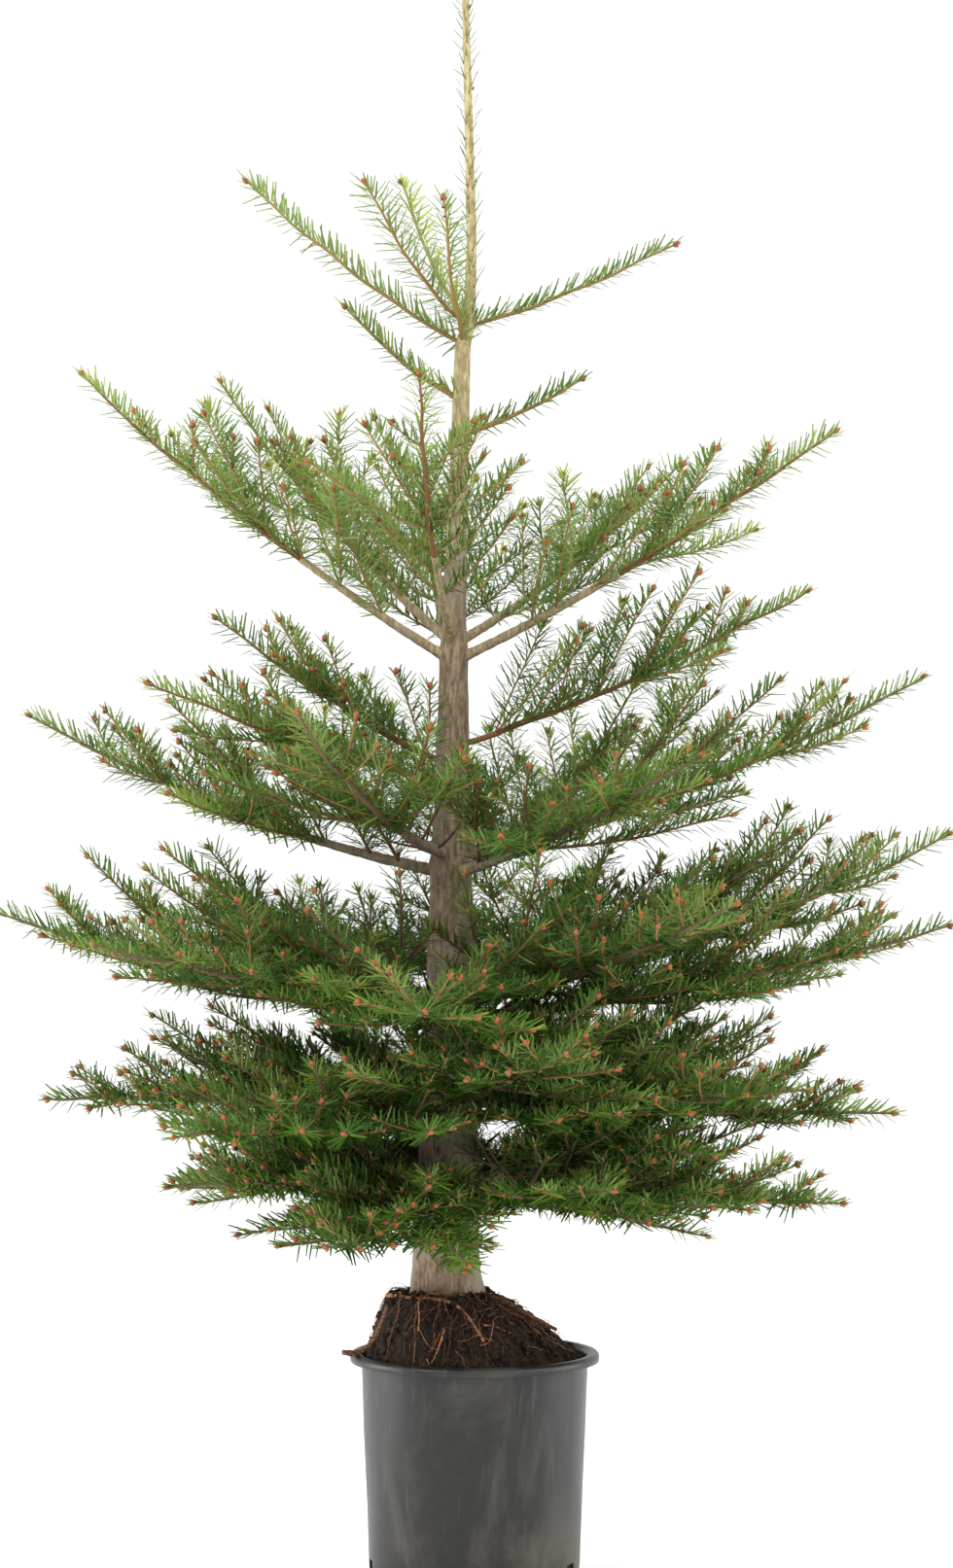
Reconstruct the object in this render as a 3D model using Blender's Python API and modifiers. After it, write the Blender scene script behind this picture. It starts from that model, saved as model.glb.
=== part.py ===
"""Potted Nordmann fir: a young tree in a black nursery pot, with some of its roots bare on top of the soil.

Metres, +Z up. The origin is the middle of the pot's flat underside. +X is the viewer's right and -Y points at
the viewer. An azimuth is in degrees from +X towards +Y, so that 270 points at the viewer.
"""

import random
from math import cos, pi, radians, sin
from typing import NamedTuple

import bmesh
import bpy
from mathutils import Vector
from mathutils.bvhtree import BVHTree

PART = "potted_nordmann_fir"
GAP = 0.0003  # between two pieces that touch
UP = Vector((0, 0, 1))

# The pot
POT_HEIGHT = 0.262
POT_BASE_RADIUS = 0.110
POT_TOP_RADIUS = 0.1205
POT_WALL = 0.003
FOOT_ROUND = 0.004  # where the wall meets the floor
RIM_RADIUS = 0.130
RIM_WALL = 0.0035
RIM_LIP = 0.007  # how far the rim's edge turns down
LIP_WALL = 0.0022
EDGE_ROUND = 0.0015
POT_STEPS = 28
SLOTS = 10
SLOT_AZIMUTH = 335
SLOT_WIDTH = 0.016
SLOT_BOTTOM = 0.008
SLOT_TOP = 0.047

# The soil, a root ball that fills the pot and stands over it
SOIL_EDGE = 0.256  # its height at the pot's wall
SOIL_CREST = 0.327
SOIL_MIDDLE = Vector((-0.028, 0, 0))
SOIL_CLEAR = 0.001  # of the pot's round wall, whose flat facets lie inside its circle
SOIL_SHOULDER = 0.010  # the mound starts this far under its edge
SOIL_PLATEAU = 0.48  # the flat part, as a share of the way from the middle to the wall
SOIL_SHIFT = 0.22  # less of it on the right and more on the left
SOIL_FALL = 1.25
SOIL_SAG = 0.004
SOIL_RINGS = (1, 0.97, 0.90, 0.80, 0.69, 0.57, 0.44, 0.28)
SOIL_SIDES = 22
SOIL_ROUGHNESS = 0.0035

# The trunk: height, X, Y and radius where it changes
GROUND = 0.318  # the flat cut, just under the soil's crest
TRUNK = (
    (GROUND, -0.029, 0.000, 0.0385),
    (0.334, -0.030, 0.000, 0.0375),
    (0.357, -0.0305, 0.000, 0.0360),
    (0.414, -0.0284, 0.001, 0.0330),
    (0.560, -0.0270, 0.003, 0.0285),
    (0.780, -0.0245, 0.002, 0.0215),
    (1.000, -0.0222, 0.000, 0.0145),
    (1.058, -0.0215, 0.000, 0.0125),
    (1.182, -0.0170, -0.001, 0.0100),
    (1.332, -0.0125, -0.001, 0.0083),
    (1.356, -0.0055, 0.000, 0.0060),
    (1.442, -0.0031, 0.001, 0.0054),
    (1.605, -0.0072, 0.002, 0.0042),
    (1.698, -0.0097, 0.002, 0.0035),
    (1.770, -0.0115, 0.002, 0.0029),
    (1.777, -0.0117, 0.002, 0.0046),
    (1.787, -0.0120, 0.002, 0.0014),
)
TRUNK_SIDES = 12
TRUNK_STRETCH = 0.12  # about the longest between two rings
FLARE_LOBES = 5
FLARE_DEPTH = 0.0075
FLARE_HEIGHT = 0.045
FLARE_EVEN = 0.55  # the share of the flare that goes all the way round
FLARE_TURN = 0.6

# The roots that show: azimuth and distance from the soil's middle, height over the soil, for each point
ROOTS = {
    "root_left": (
        0.0045,
        ((201, 0.066, -0.004), (201, 0.082, 0.003), (200, 0.100, 0.0155), (200, 0.118, 0.0165)),
    ),
    "root_right": (
        0.0032,
        ((345, 0.046, 0.000), (343, 0.066, 0.004), (343, 0.090, 0.010), (344, 0.119, 0.018)),
    ),
    "root_loop": (
        0.0027,
        (
            (183, 0.064, 0.002),
            (199, 0.061, 0.001),
            (218, 0.058, 0.001),
            (236, 0.057, 0.001),
            (255, 0.055, 0.001),
            (276, 0.060, 0.001),
            (288, 0.076, 0.001),
            (293, 0.096, 0.001),
        ),
    ),
}
ROOT_TAPER = 0.6
SEAT_CLEAR = 0.0004  # round a root, in the soil that it lies on


class Tier(NamedTuple):
    """One year's whorl of boughs. Each bough has its azimuth, reach, tip height, and the share of it that is
    a bare limb, or 0 where foliage starts at the trunk."""

    height: float  # on the trunk
    years: int  # of growth in each bough
    radius: float  # of each limb at the trunk
    lift: float  # height of the bough's middle, as a share of its rise
    needle: float  # length of a tooth of its blades
    boughs: tuple


TIERS = {
    "tier1": Tier(1.342, 1, 0.0026, 0.35, 0.026, (
        (118, 0.155, 1.524, 0),
        (182, 0.230, 1.503, 0),
        (232, 0.170, 1.484, 0),
        (262, 0.145, 1.466, 0),
        (356, 0.222, 1.438, 0),
    )),
    "tier2": Tier(1.005, 2, 0.0055, 0.38, 0.032, (
        (45, 0.355, 1.222, 0.40),
        (97, 0.305, 1.245, 0.40),
        (148, 0.305, 1.308, 0.42),
        (188, 0.390, 1.293, 0.42),
        (264, 0.320, 1.268, 0.40),
        (350, 0.405, 1.235, 0.44),
    )),
    "tier3": Tier(0.780, 3, 0.0068, 0.25, 0.040, (
        (5, 0.505, 0.980, 0.34),
        (62, 0.450, 0.930, 0),
        (122, 0.440, 0.950, 0),
        (184, 0.445, 0.938, 0.32),
        (247, 0.380, 0.935, 0.30),
        (307, 0.410, 0.895, 0.32),
    )),
    "tier4": Tier(0.625, 4, 0.0070, 0.25, 0.042, (
        (10, 0.550, 0.808, 0),
        (72, 0.480, 0.765, 0),
        (130, 0.475, 0.740, 0),
        (174, 0.490, 0.728, 0),
        (217, 0.440, 0.705, 0),
        (267, 0.430, 0.650, 0),
        (309, 0.450, 0.750, 0),
        (341, 0.540, 0.722, 0),
    )),
    "tier5": Tier(0.520, 5, 0.0070, 0.40, 0.042, (
        (48, 0.450, 0.560, 0),
        (100, 0.460, 0.540, 0),
        (181, 0.425, 0.533, 0),
        (232, 0.430, 0.520, 0),
        (286, 0.420, 0.605, 0),
        (325, 0.440, 0.560, 0),
        (356, 0.468, 0.518, 0),
    )),
    "tier6": Tier(0.448, 6, 0.0065, 1.20, 0.042, (
        (30, 0.360, 0.415, 0),
        (80, 0.370, 0.400, 0),
        (140, 0.380, 0.430, 0),
        (193, 0.300, 0.445, 0),
        (247, 0.310, 0.405, 0),
        (341, 0.430, 0.437, 0),
    )),
}
STAGGER = 0.009  # a whorl's boughs leave the trunk this much above or below its height in turn
# Boughs and shoots on the trunk between the whorls: height on the trunk, azimuth, reach, tip height, years
BETWEEN = (
    (1.272, 190, 0.122, 1.368, 1),
    (1.235, 352, 0.130, 1.292, 1),
    (0.905, 358, 0.375, 1.070, 2),
    (0.885, 172, 0.255, 1.045, 2),
    (0.865, 214, 0.370, 0.968, 2),
    (0.415, 276, 0.190, 0.372, 1),
)
BETWEEN_RADIUS = 0.0034
BETWEEN_LIFT = 0.35
BETWEEN_NEEDLE = 0.030
BOUGH_BEND = 0.05  # sideways, at most, as a share of its reach

LIMB_SIDES = 6
LIMB_POINTS = 6
LIMB_TAPER = 0.62  # radius where the foliage starts, as a share of that at the trunk

# Foliage: every shoot is a toothed blade, whose teeth each stand for a tuft of needles
TOOTH_FACES = ((0, 1, 3), (1, 2, 3), (2, 0, 3))
TOOTH_SPACING = 1.3  # as a share of a tooth's length
TOOTH_LEAST = 0.72  # at a shoot's two ends, as a share of the longest
TOOTH_SPREAD = (0.88, 1.10)
TOOTH_SEAT = 0.45  # along its stretch of the core
TOOTH_SWEEP = 0.62  # forward, as a share of its length
TOOTH_RAISE = 0.75
RAISE_SPREAD = (0.6, 1.2)
SIDE_TOOTH = 0.92  # on a side shoot
BLADE_ROLL = 25  # degrees that a blade may be turned about its own line
CORE = 0.0034  # half the width of a side shoot's core at its foot
CORE_DEPTH = 0.62  # half the core's depth, as a share of half its width
CORE_TIP = 0.5
CLEAR_OF_TRUNK = 0.045  # without teeth
# Side shoots: each year's end of a bough has a spreading pair, then a rising pair
SIDE_ANGLES = (52, 36)
SIDE_PITCHES = (-0.10, 0.42)  # how far they leave the bough's own plane
SIDE_LENGTHS = (0.64, 0.52)  # as a share of what is left of the bough
SIDE_STEP = 0.02  # from one pair to the other, as a share of the bough
SIDE_FORWARD = 0.16  # how far a side shoot bends forward and up, as a share of its length
SIDE_RISE = 0.10
ANGLE_SPREAD = 6
PITCH_SPREAD = 0.16
LENGTH_SPREAD = 0.12
LIVE_SHARE = 0.24  # side shoots that leave the bough nearer to the trunk have died in the shade
SHORTEN = 0.8  # a side shoot without room is tried again at this share of its length
TRIES = 4
SHORTEST = 0.075
SHARP_EDGE = 40  # degrees


def collection(name):
    made = bpy.data.collections.new(name)
    bpy.context.scene.collection.children.link(made)
    return made


def material(name, colour, roughness):
    made = bpy.data.materials.new(name)
    made.use_nodes = True
    shader = made.node_tree.nodes["Principled BSDF"]
    shader.inputs["Base Color"].default_value = (*colour, 1)
    shader.inputs["Roughness"].default_value = roughness
    made.diffuse_color = (*colour, 1)
    return made


def add(name, mesh, group, finish=None):
    made = bpy.data.objects.new(name, mesh)
    group.objects.link(made)
    if finish:
        mesh.materials.clear()
        mesh.materials.append(finish)
    return made


def as_helper(made):
    made.hide_render = True
    made.display_type = "WIRE"
    return made


def mesh_of(name, points, faces):
    """A mesh of these faces, all turned outwards."""
    shape = bmesh.new()
    corners = [shape.verts.new(point) for point in points]
    for face in faces:
        shape.faces.new([corners[index] for index in face])
    bmesh.ops.recalc_face_normals(shape, faces=shape.faces)
    bmesh.ops.triangulate(shape, faces=shape.faces, quad_method="FIXED")
    mesh = bpy.data.meshes.new(name)
    shape.to_mesh(mesh)
    shape.free()
    return mesh


def loft(name, rings):
    """A closed skin over rings of equally many points, with a flat face at each end."""
    sides = len(rings[0])
    points = [point for ring in rings for point in ring]
    faces = [range(sides), range(len(points) - sides, len(points))]
    for row in range(len(rings) - 1):
        below = row * sides
        above = below + sides
        for side in range(sides):
            after = (side + 1) % sides
            faces.append((below + side, below + after, above + after, above + side))
    return mesh_of(name, points, faces)


def evaluated(made):
    """A new mesh of the object with its modifiers applied."""
    bpy.context.view_layer.update()
    graph = bpy.context.evaluated_depsgraph_get()
    return bpy.data.meshes.new_from_object(made.evaluated_get(graph))


def apply_modifiers(made):
    mesh = evaluated(made)
    made.modifiers.clear()
    made.data = mesh


def boolean(made, operation, other):
    modifier = made.modifiers.new(operation.lower(), "BOOLEAN")
    modifier.operation = operation
    if isinstance(other, bpy.types.Collection):
        modifier.operand_type = "COLLECTION"
        modifier.collection = other
    else:
        modifier.object = other


def tube(name, points, radii, sides, group, finish=None):
    """A tapering round limb or root, from a curve."""
    curve = bpy.data.curves.new(name, "CURVE")
    curve.dimensions = "3D"
    curve.bevel_depth = 1
    curve.bevel_resolution = sides // 2 - 2
    curve.use_fill_caps = True
    spline = curve.splines.new("POLY")
    spline.points.add(len(points) - 1)
    for knot, point, radius in zip(spline.points, points, radii):
        knot.co = (*point, 1)
        knot.radius = radius
    line = add(name + "_line", curve, group)
    mesh = evaluated(line)
    mesh.name = name
    bpy.data.objects.remove(line)
    shape = bmesh.new()
    shape.from_mesh(mesh)
    bmesh.ops.remove_doubles(shape, verts=shape.verts, dist=1e-5)
    bmesh.ops.recalc_face_normals(shape, faces=shape.faces)
    shape.to_mesh(mesh)
    shape.free()
    return add(name, mesh, group, finish)


def between(stations, height):
    """The station at this height, in straight lines between those given."""
    for low, high in zip(stations, stations[1:]):
        if height <= high[0]:
            break
    share = max(0, (height - low[0]) / (high[0] - low[0]))
    return [a + (b - a) * share for a, b in zip(low, high)]


def trunk_axis(height):
    _, x, y, _ = between(TRUNK, height)
    return Vector((x, y, height))


def flare(height, angle):
    """How far the root flare's lobes stand out at this height."""
    fall = max(0, 1 - (height - GROUND) / FLARE_HEIGHT) ** 2
    lobes = cos(FLARE_LOBES * angle + FLARE_TURN)
    return FLARE_DEPTH * fall * (FLARE_EVEN + (1 - FLARE_EVEN) * lobes)


def trunk_rings(grow=0):
    """The trunk's rings, or those of a trunk that is this much larger all round."""
    stations = []
    for low, high in zip(TRUNK, TRUNK[1:]):
        cuts = max(1, round((high[0] - low[0]) / TRUNK_STRETCH))
        for cut in range(cuts):
            stations.append(between(TRUNK, low[0] + (high[0] - low[0]) * cut / cuts))
    stations.append(list(TRUNK[-1]))
    stations[0][0] -= grow
    stations[-1][0] += grow
    rings = []
    for height, x, y, radius in stations:
        ring = []
        for side in range(TRUNK_SIDES):
            angle = 2 * pi * side / TRUNK_SIDES
            out = radius + grow + flare(height, angle)
            ring.append(Vector((x + out * cos(angle), y + out * sin(angle), height)))
        rings.append(ring)
    return rings


def pot_radius(height):
    return POT_BASE_RADIUS + (POT_TOP_RADIUS - POT_BASE_RADIUS) * height / POT_HEIGHT


def make_pot(group, cutters, finish):
    """A turned shell with a rolled rim, and drain slots round its foot."""
    foot = pot_radius(0)
    top = pot_radius(POT_HEIGHT)
    profile = (
        (0, POT_WALL),
        (foot - POT_WALL - FOOT_ROUND, POT_WALL),
        (foot - POT_WALL, POT_WALL + FOOT_ROUND),
        (top - POT_WALL, POT_HEIGHT - RIM_WALL),
        (top, POT_HEIGHT),
        (RIM_RADIUS - EDGE_ROUND, POT_HEIGHT),
        (RIM_RADIUS, POT_HEIGHT - EDGE_ROUND),
        (RIM_RADIUS, POT_HEIGHT - RIM_LIP),
        (RIM_RADIUS - LIP_WALL, POT_HEIGHT - RIM_LIP),
        (RIM_RADIUS - LIP_WALL, POT_HEIGHT - RIM_WALL),
        (top, POT_HEIGHT - RIM_WALL - EDGE_ROUND),
        (pot_radius(FOOT_ROUND), FOOT_ROUND),
        (foot - EDGE_ROUND, 0),
        (0, 0),
    )
    mesh = bpy.data.meshes.new("pot")
    points = [(radius, 0, height) for radius, height in profile]
    mesh.from_pydata(points, [(row, row + 1) for row in range(len(points) - 1)], [])
    pot = add("pot", mesh, group, finish)
    turn = pot.modifiers.new("turn", "SCREW")
    turn.steps = turn.render_steps = POT_STEPS
    turn.use_merge_vertices = True
    turn.merge_threshold = 0.0001
    turn.use_smooth_shade = True

    block = bmesh.new()
    bmesh.ops.create_cube(block, size=1)
    bmesh.ops.scale(block, vec=(5 * POT_WALL, SLOT_WIDTH, SLOT_TOP - SLOT_BOTTOM), verts=block.verts)
    slot = bpy.data.meshes.new("slot")
    block.to_mesh(slot)
    block.free()
    middle = (SLOT_TOP + SLOT_BOTTOM) / 2
    out = pot_radius(middle) - POT_WALL / 2
    for number in range(SLOTS):
        angle = radians(SLOT_AZIMUTH + 360 * number / SLOTS)
        cutter = as_helper(add(f"slot_{number + 1}", slot, cutters))
        cutter.location = (out * cos(angle), out * sin(angle), middle)
        cutter.rotation_euler.z = angle
    boolean(pot, "DIFFERENCE", cutters)


def soil_height(x, y):
    """The mound's own surface: a plateau round the trunk that falls to the wall, steeper on the left."""
    point = Vector((x, y, 0)) - SOIL_MIDDLE
    away = point.length
    if away < GAP:
        return SOIL_CREST
    out = point / away
    inner = pot_radius(SOIL_EDGE) - POT_WALL
    along = SOIL_MIDDLE.dot(out)
    wall = (along * along + inner * inner - SOIL_MIDDLE.length_squared) ** 0.5 - along
    share = min(1, away / wall)
    plateau = SOIL_PLATEAU - SOIL_SHIFT * out.x
    slope = max(0, share - plateau) / (1 - plateau)
    return SOIL_CREST - (SOIL_CREST - SOIL_EDGE) * slope ** SOIL_FALL - SOIL_SAG * share


def make_soil(group, finish, spaces):
    """The root ball inside the pot, its mound, and a seat in it for each of these spaces."""
    rng = random.Random("soil")
    foot = POT_WALL + GAP
    heights = (foot, foot + FOOT_ROUND, POT_HEIGHT / 2, SOIL_EDGE - SOIL_SHOULDER)
    radii = [pot_radius(height) - POT_WALL - SOIL_CLEAR for height in heights]
    radii[0] -= FOOT_ROUND
    turns = [2 * pi * side / SOIL_SIDES for side in range(SOIL_SIDES)]
    rings = [
        [Vector((radius * cos(turn), radius * sin(turn), height)) for turn in turns]
        for height, radius in zip(heights, radii)
    ]
    outer = [Vector((edge.x, edge.y, 0)) for edge in rings[-1]]
    for share in SOIL_RINGS:
        ring = []
        for edge in outer:
            x, y, _ = SOIL_MIDDLE.lerp(edge, share)
            bump = 0 if share == 1 else rng.uniform(-1, 1) * SOIL_ROUGHNESS
            ring.append(Vector((x, y, soil_height(x, y) + bump)))
        rings.append(ring)
    soil = add("soil", loft("soil", rings), group, finish)
    for space in spaces:
        boolean(soil, "DIFFERENCE", space)


def root_route(steps):
    route = []
    for azimuth, away, over in steps:
        x = SOIL_MIDDLE.x + away * cos(radians(azimuth))
        y = SOIL_MIDDLE.y + away * sin(radians(azimuth))
        route.append(Vector((x, y, soil_height(x, y) + over)))
    return route


def make_roots(group, cutters, finish):
    """The roots that lie on the soil, and a fatter copy of each that cuts its seat."""
    roots = []
    seats = []
    for name, (radius, steps) in ROOTS.items():
        route = root_route(steps)
        last = len(route) - 1
        radii = [radius * (1 - (1 - ROOT_TAPER) * row / last) for row in range(last + 1)]
        roots.append(tube(name, route, radii, LIMB_SIDES, group, finish))
        first = route[0] + (route[0] - route[1]).normalized() * SEAT_CLEAR
        final = route[-1] + (route[-1] - route[-2]).normalized() * SEAT_CLEAR
        wider = [radius + SEAT_CLEAR for radius in radii]
        seat = tube(name + "_seat", [first, *route[1:-1], final], wider, LIMB_SIDES, cutters)
        seats.append(as_helper(seat))
    return roots, seats


class Bough:
    """The curved line that a bough follows, from the middle of the trunk to its tip."""

    def __init__(self, name, height, azimuth, reach, tip, lift):
        out = Vector((cos(radians(azimuth)), sin(radians(azimuth)), 0))
        across = UP.cross(out)
        bend = random.Random(name + "-bend").uniform(-BOUGH_BEND, BOUGH_BEND) * reach
        self.start = trunk_axis(height)
        self.end = Vector((self.start.x, self.start.y, tip)) + out * reach
        self.middle = self.start.lerp(self.end, 0.5) + across * bend
        self.middle.z = height + lift * (tip - height)
        self.length = (self.middle - self.start).length + (self.end - self.middle).length

    def point(self, share):
        first = self.start.lerp(self.middle, share)
        return first.lerp(self.middle.lerp(self.end, share), share)


class Growth(NamedTuple):
    """A bough's line, its years, its radius at the trunk, the share of it that is bare, and its teeth."""

    bough: Bough
    years: int
    radius: float
    bare: float
    needle: float


def all_growth():
    """Every bough of the tree by its name."""
    made = {}
    for tier_name, tier in TIERS.items():
        for number, (azimuth, reach, tip, bare) in enumerate(tier.boughs, 1):
            name = f"{tier_name}_{number}"
            height = tier.height + (STAGGER if number % 2 else -STAGGER)
            bough = Bough(name, height, azimuth, reach, tip, tier.lift)
            made[name] = Growth(bough, tier.years, tier.radius, bare, tier.needle)
    for number, (height, azimuth, reach, tip, years) in enumerate(BETWEEN, 1):
        name = f"between_{number}"
        bough = Bough(name, height, azimuth, reach, tip, BETWEEN_LIFT)
        made[name] = Growth(bough, years, BETWEEN_RADIUS, 0, BETWEEN_NEEDLE)
    return made


def frame_along(here, there, roll):
    """The heading from one point to the other, and the sideways and upward directions of a rolled blade."""
    ahead = (there - here).normalized()
    side = ahead.cross(UP).normalized()
    over = side.cross(ahead)
    return ahead, side * cos(roll) + over * sin(roll), over * cos(roll) - side * sin(roll)


def blade(route, core, needle, bare, rng, free):
    """A shoot with its needles: a three-sided core that ends in a point, and one swept tooth on each side of
    every stretch of it after the bare ones, where the tooth has room."""
    last = len(route) - 1
    roll = radians(rng.uniform(-BLADE_ROLL, BLADE_ROLL))
    points = []
    for row, here in enumerate(route[:-1]):
        _, side, over = frame_along(route[max(0, row - 1)], route[row + 1], roll)
        half = core * (1 - (1 - CORE_TIP) * row / last)
        under = here - over * half * CORE_DEPTH / 2
        points += [here + over * half * CORE_DEPTH, under + side * half, under - side * half]
    end = len(points)
    points.append(route[-1])
    faces = [(0, 1, 2)]
    for row in range(last):
        ahead, side, over = frame_along(route[row], route[row + 1], roll)
        spine = row * 3
        edges = (spine + 1, spine + 2)
        to_come = row < last - 1
        spine_after, *edges_after = (spine + 3, spine + 4, spine + 5) if to_come else (end, end, end)
        faces.append((*edges, edges_after[1]))
        if to_come:
            faces.append((edges[0], edges_after[1], edges_after[0]))
        fullness = TOOTH_LEAST + (1 - TOOTH_LEAST) * sin(pi * (row + 0.5) / last)
        for turn, edge, edge_after in zip((1, -1), edges, edges_after):
            size = needle * fullness * rng.uniform(*TOOTH_SPREAD)
            raised = size * TOOTH_RAISE * rng.uniform(*RAISE_SPREAD)
            peak = route[row].lerp(route[row + 1], TOOTH_SEAT)
            peak += side * turn * size + ahead * size * TOOTH_SWEEP + over * raised
            tooth = [points[spine], points[edge], points[edge_after], peak]
            if row >= bare and free((tooth, TOOTH_FACES)):
                points.append(peak)
                tip = len(points) - 1
                faces += [(spine, edge, tip), (spine, tip, spine_after), (edge, tip, edge_after)]
                if to_come:
                    faces.append((spine_after, tip, edge_after))
            else:
                faces.append((spine, edge, edge_after))
                if to_come:
                    faces.append((spine, edge_after, spine_after))
    return points, faces


class Side(NamedTuple):
    """A side shoot: the year's end that it leaves from, its pair, its side and its line."""

    year: int
    pair: int
    turn: int
    share: float
    angle: float
    pitch: float
    length: float


def side_shoots(name, bough, years):
    rng = random.Random(name)
    made = []
    for year in range(1, years):
        for pair in (0, 1):
            for turn in (1, -1):
                angle = SIDE_ANGLES[pair] + rng.uniform(-ANGLE_SPREAD, ANGLE_SPREAD)
                pitch = SIDE_PITCHES[pair] + rng.uniform(-PITCH_SPREAD, PITCH_SPREAD)
                length = SIDE_LENGTHS[pair] * (1 - year / years) * bough.length
                length *= 1 + rng.uniform(-LENGTH_SPREAD, LENGTH_SPREAD)
                share = year / years + SIDE_STEP * pair
                made.append(Side(year, pair, turn, share, radians(angle), pitch, length))
    return made


def side_route(bough, side, length, spacing):
    """A side shoot's line, which leaves the bough and bends a little forward and up."""
    origin = bough.point(side.share)
    ahead, across, over = frame_along(origin, bough.point(side.share + 0.01), 0)
    out = ahead * cos(side.angle) + across * side.turn * sin(side.angle) + over * side.pitch
    bend = ahead * SIDE_FORWARD + over * SIDE_RISE
    steps = max(3, round(length / spacing))
    return [
        origin + out * (length * step / steps) + bend * length * (step / steps) ** 2
        for step in range(steps + 1)
    ]


class Crown:
    """What stands already, so that each new shoot keeps to its own space."""

    def __init__(self):
        self.taken = {}

    def add_shape(self, name, shape):
        self.taken[name] = BVHTree.FromPolygons(*shape)

    def add(self, made):
        points = [vertex.co for vertex in made.data.vertices]
        faces = [tuple(face.vertices) for face in made.data.polygons]
        self.add_shape(made.name, (points, faces))

    def free(self, shape, besides):
        tree = BVHTree.FromPolygons(*shape)
        return not any(tree.overlap(other) for name, other in self.taken.items() if name not in besides)


def union(name, shapes, group, finish):
    """One solid of all these shapes."""
    parts = collection(name + "_shoots")
    for number, shape in enumerate(shapes[1:], 1):
        add(f"{name}_shoot_{number}", mesh_of(name, *shape), parts)
    made = add(name, mesh_of(name, *shapes[0]), group, finish)
    if len(shapes) > 1:
        boolean(made, "UNION", parts)
        apply_modifiers(made)
    for part in list(parts.objects):
        bpy.data.objects.remove(part)
    bpy.data.collections.remove(parts)
    return made


def keep_largest(made):
    """Drops loose scraps that a cut leaves."""
    shape = bmesh.new()
    shape.from_mesh(made.data)
    left = set(shape.verts)
    bodies = []
    while left:
        edge = [left.pop()]
        body = set(edge)
        while edge:
            for link in edge.pop().link_edges:
                for vertex in link.verts:
                    if vertex in left:
                        left.remove(vertex)
                        body.add(vertex)
                        edge.append(vertex)
        bodies.append(body)
    bodies.sort(key=len)
    scraps = [vertex for body in bodies[:-1] for vertex in body]
    bmesh.ops.delete(shape, geom=scraps, context="VERTS")
    shape.to_mesh(made.data)
    shape.free()


def cut_clear(made, space):
    boolean(made, "DIFFERENCE", space)
    apply_modifiers(made)
    keep_largest(made)


def make_limb(name, growth, group, finish, trunk_space):
    """A tapering limb from the trunk to where its foliage starts."""
    last = LIMB_POINTS - 1
    points = [growth.bough.point(growth.bare * row / last) for row in range(LIMB_POINTS)]
    radii = [growth.radius * (1 - (1 - LIMB_TAPER) * row / last) for row in range(LIMB_POINTS)]
    limb = tube(name, points, radii, LIMB_SIDES, group, finish)
    cut_clear(limb, trunk_space)
    return limb


def kept_sides(name, growth):
    """The side shoots that are solids: of the rising ones only every other, except on young boughs."""
    return [
        side for side in side_shoots(name, growth.bough, growth.years)
        if side.share > max(growth.bare, LIVE_SHARE)
        and (side.pair == 0 or growth.years == 2 or side.turn == (1 if side.year % 2 else -1))
    ]


def leading_shoot(name, growth, crown):
    """The blade along the bough's own line, from its limb's end or from the trunk."""
    bough = growth.bough
    spacing = growth.needle * TOOTH_SPACING
    if growth.bare:
        first = growth.bare + GAP / bough.length
        core = growth.radius * LIMB_TAPER
        bare_rows = 0
    else:
        first = 0
        core = growth.radius
        bare_rows = round(CLEAR_OF_TRUNK / spacing + 0.5)
    steps = max(4, round(bough.length * (1 - first) / spacing))
    route = [bough.point(first + (1 - first) * step / steps) for step in range(steps + 1)]
    rng = random.Random(name + "-teeth")
    return blade(route, core, growth.needle, bare_rows, rng, lambda shape: crown.free(shape, (name, "trunk")))


def make_foliage(name, growth, leader, crown, group, finish, trunk_space):
    """The foliage of one bough: its leading shoot, and its side shoots where they have room."""
    shapes = [leader]
    tooth = growth.needle * SIDE_TOOTH
    for side in kept_sides(name, growth):
        rng = random.Random(f"{name}-{side.year}-{side.pair}-{side.turn}")
        length = side.length
        for _ in range(TRIES):
            if length < SHORTEST:
                break
            route = side_route(growth.bough, side, length, growth.needle * TOOTH_SPACING)
            shoot = blade(route, CORE, tooth, 1, rng, lambda shape: crown.free(shape, (name,)))
            if crown.free(shoot, (name,)):
                shapes.append(shoot)
                break
            length *= SHORTEN
    foliage = union(name, shapes, group, finish)
    if not growth.bare:
        cut_clear(foliage, trunk_space)
    crown.add(foliage)


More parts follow.
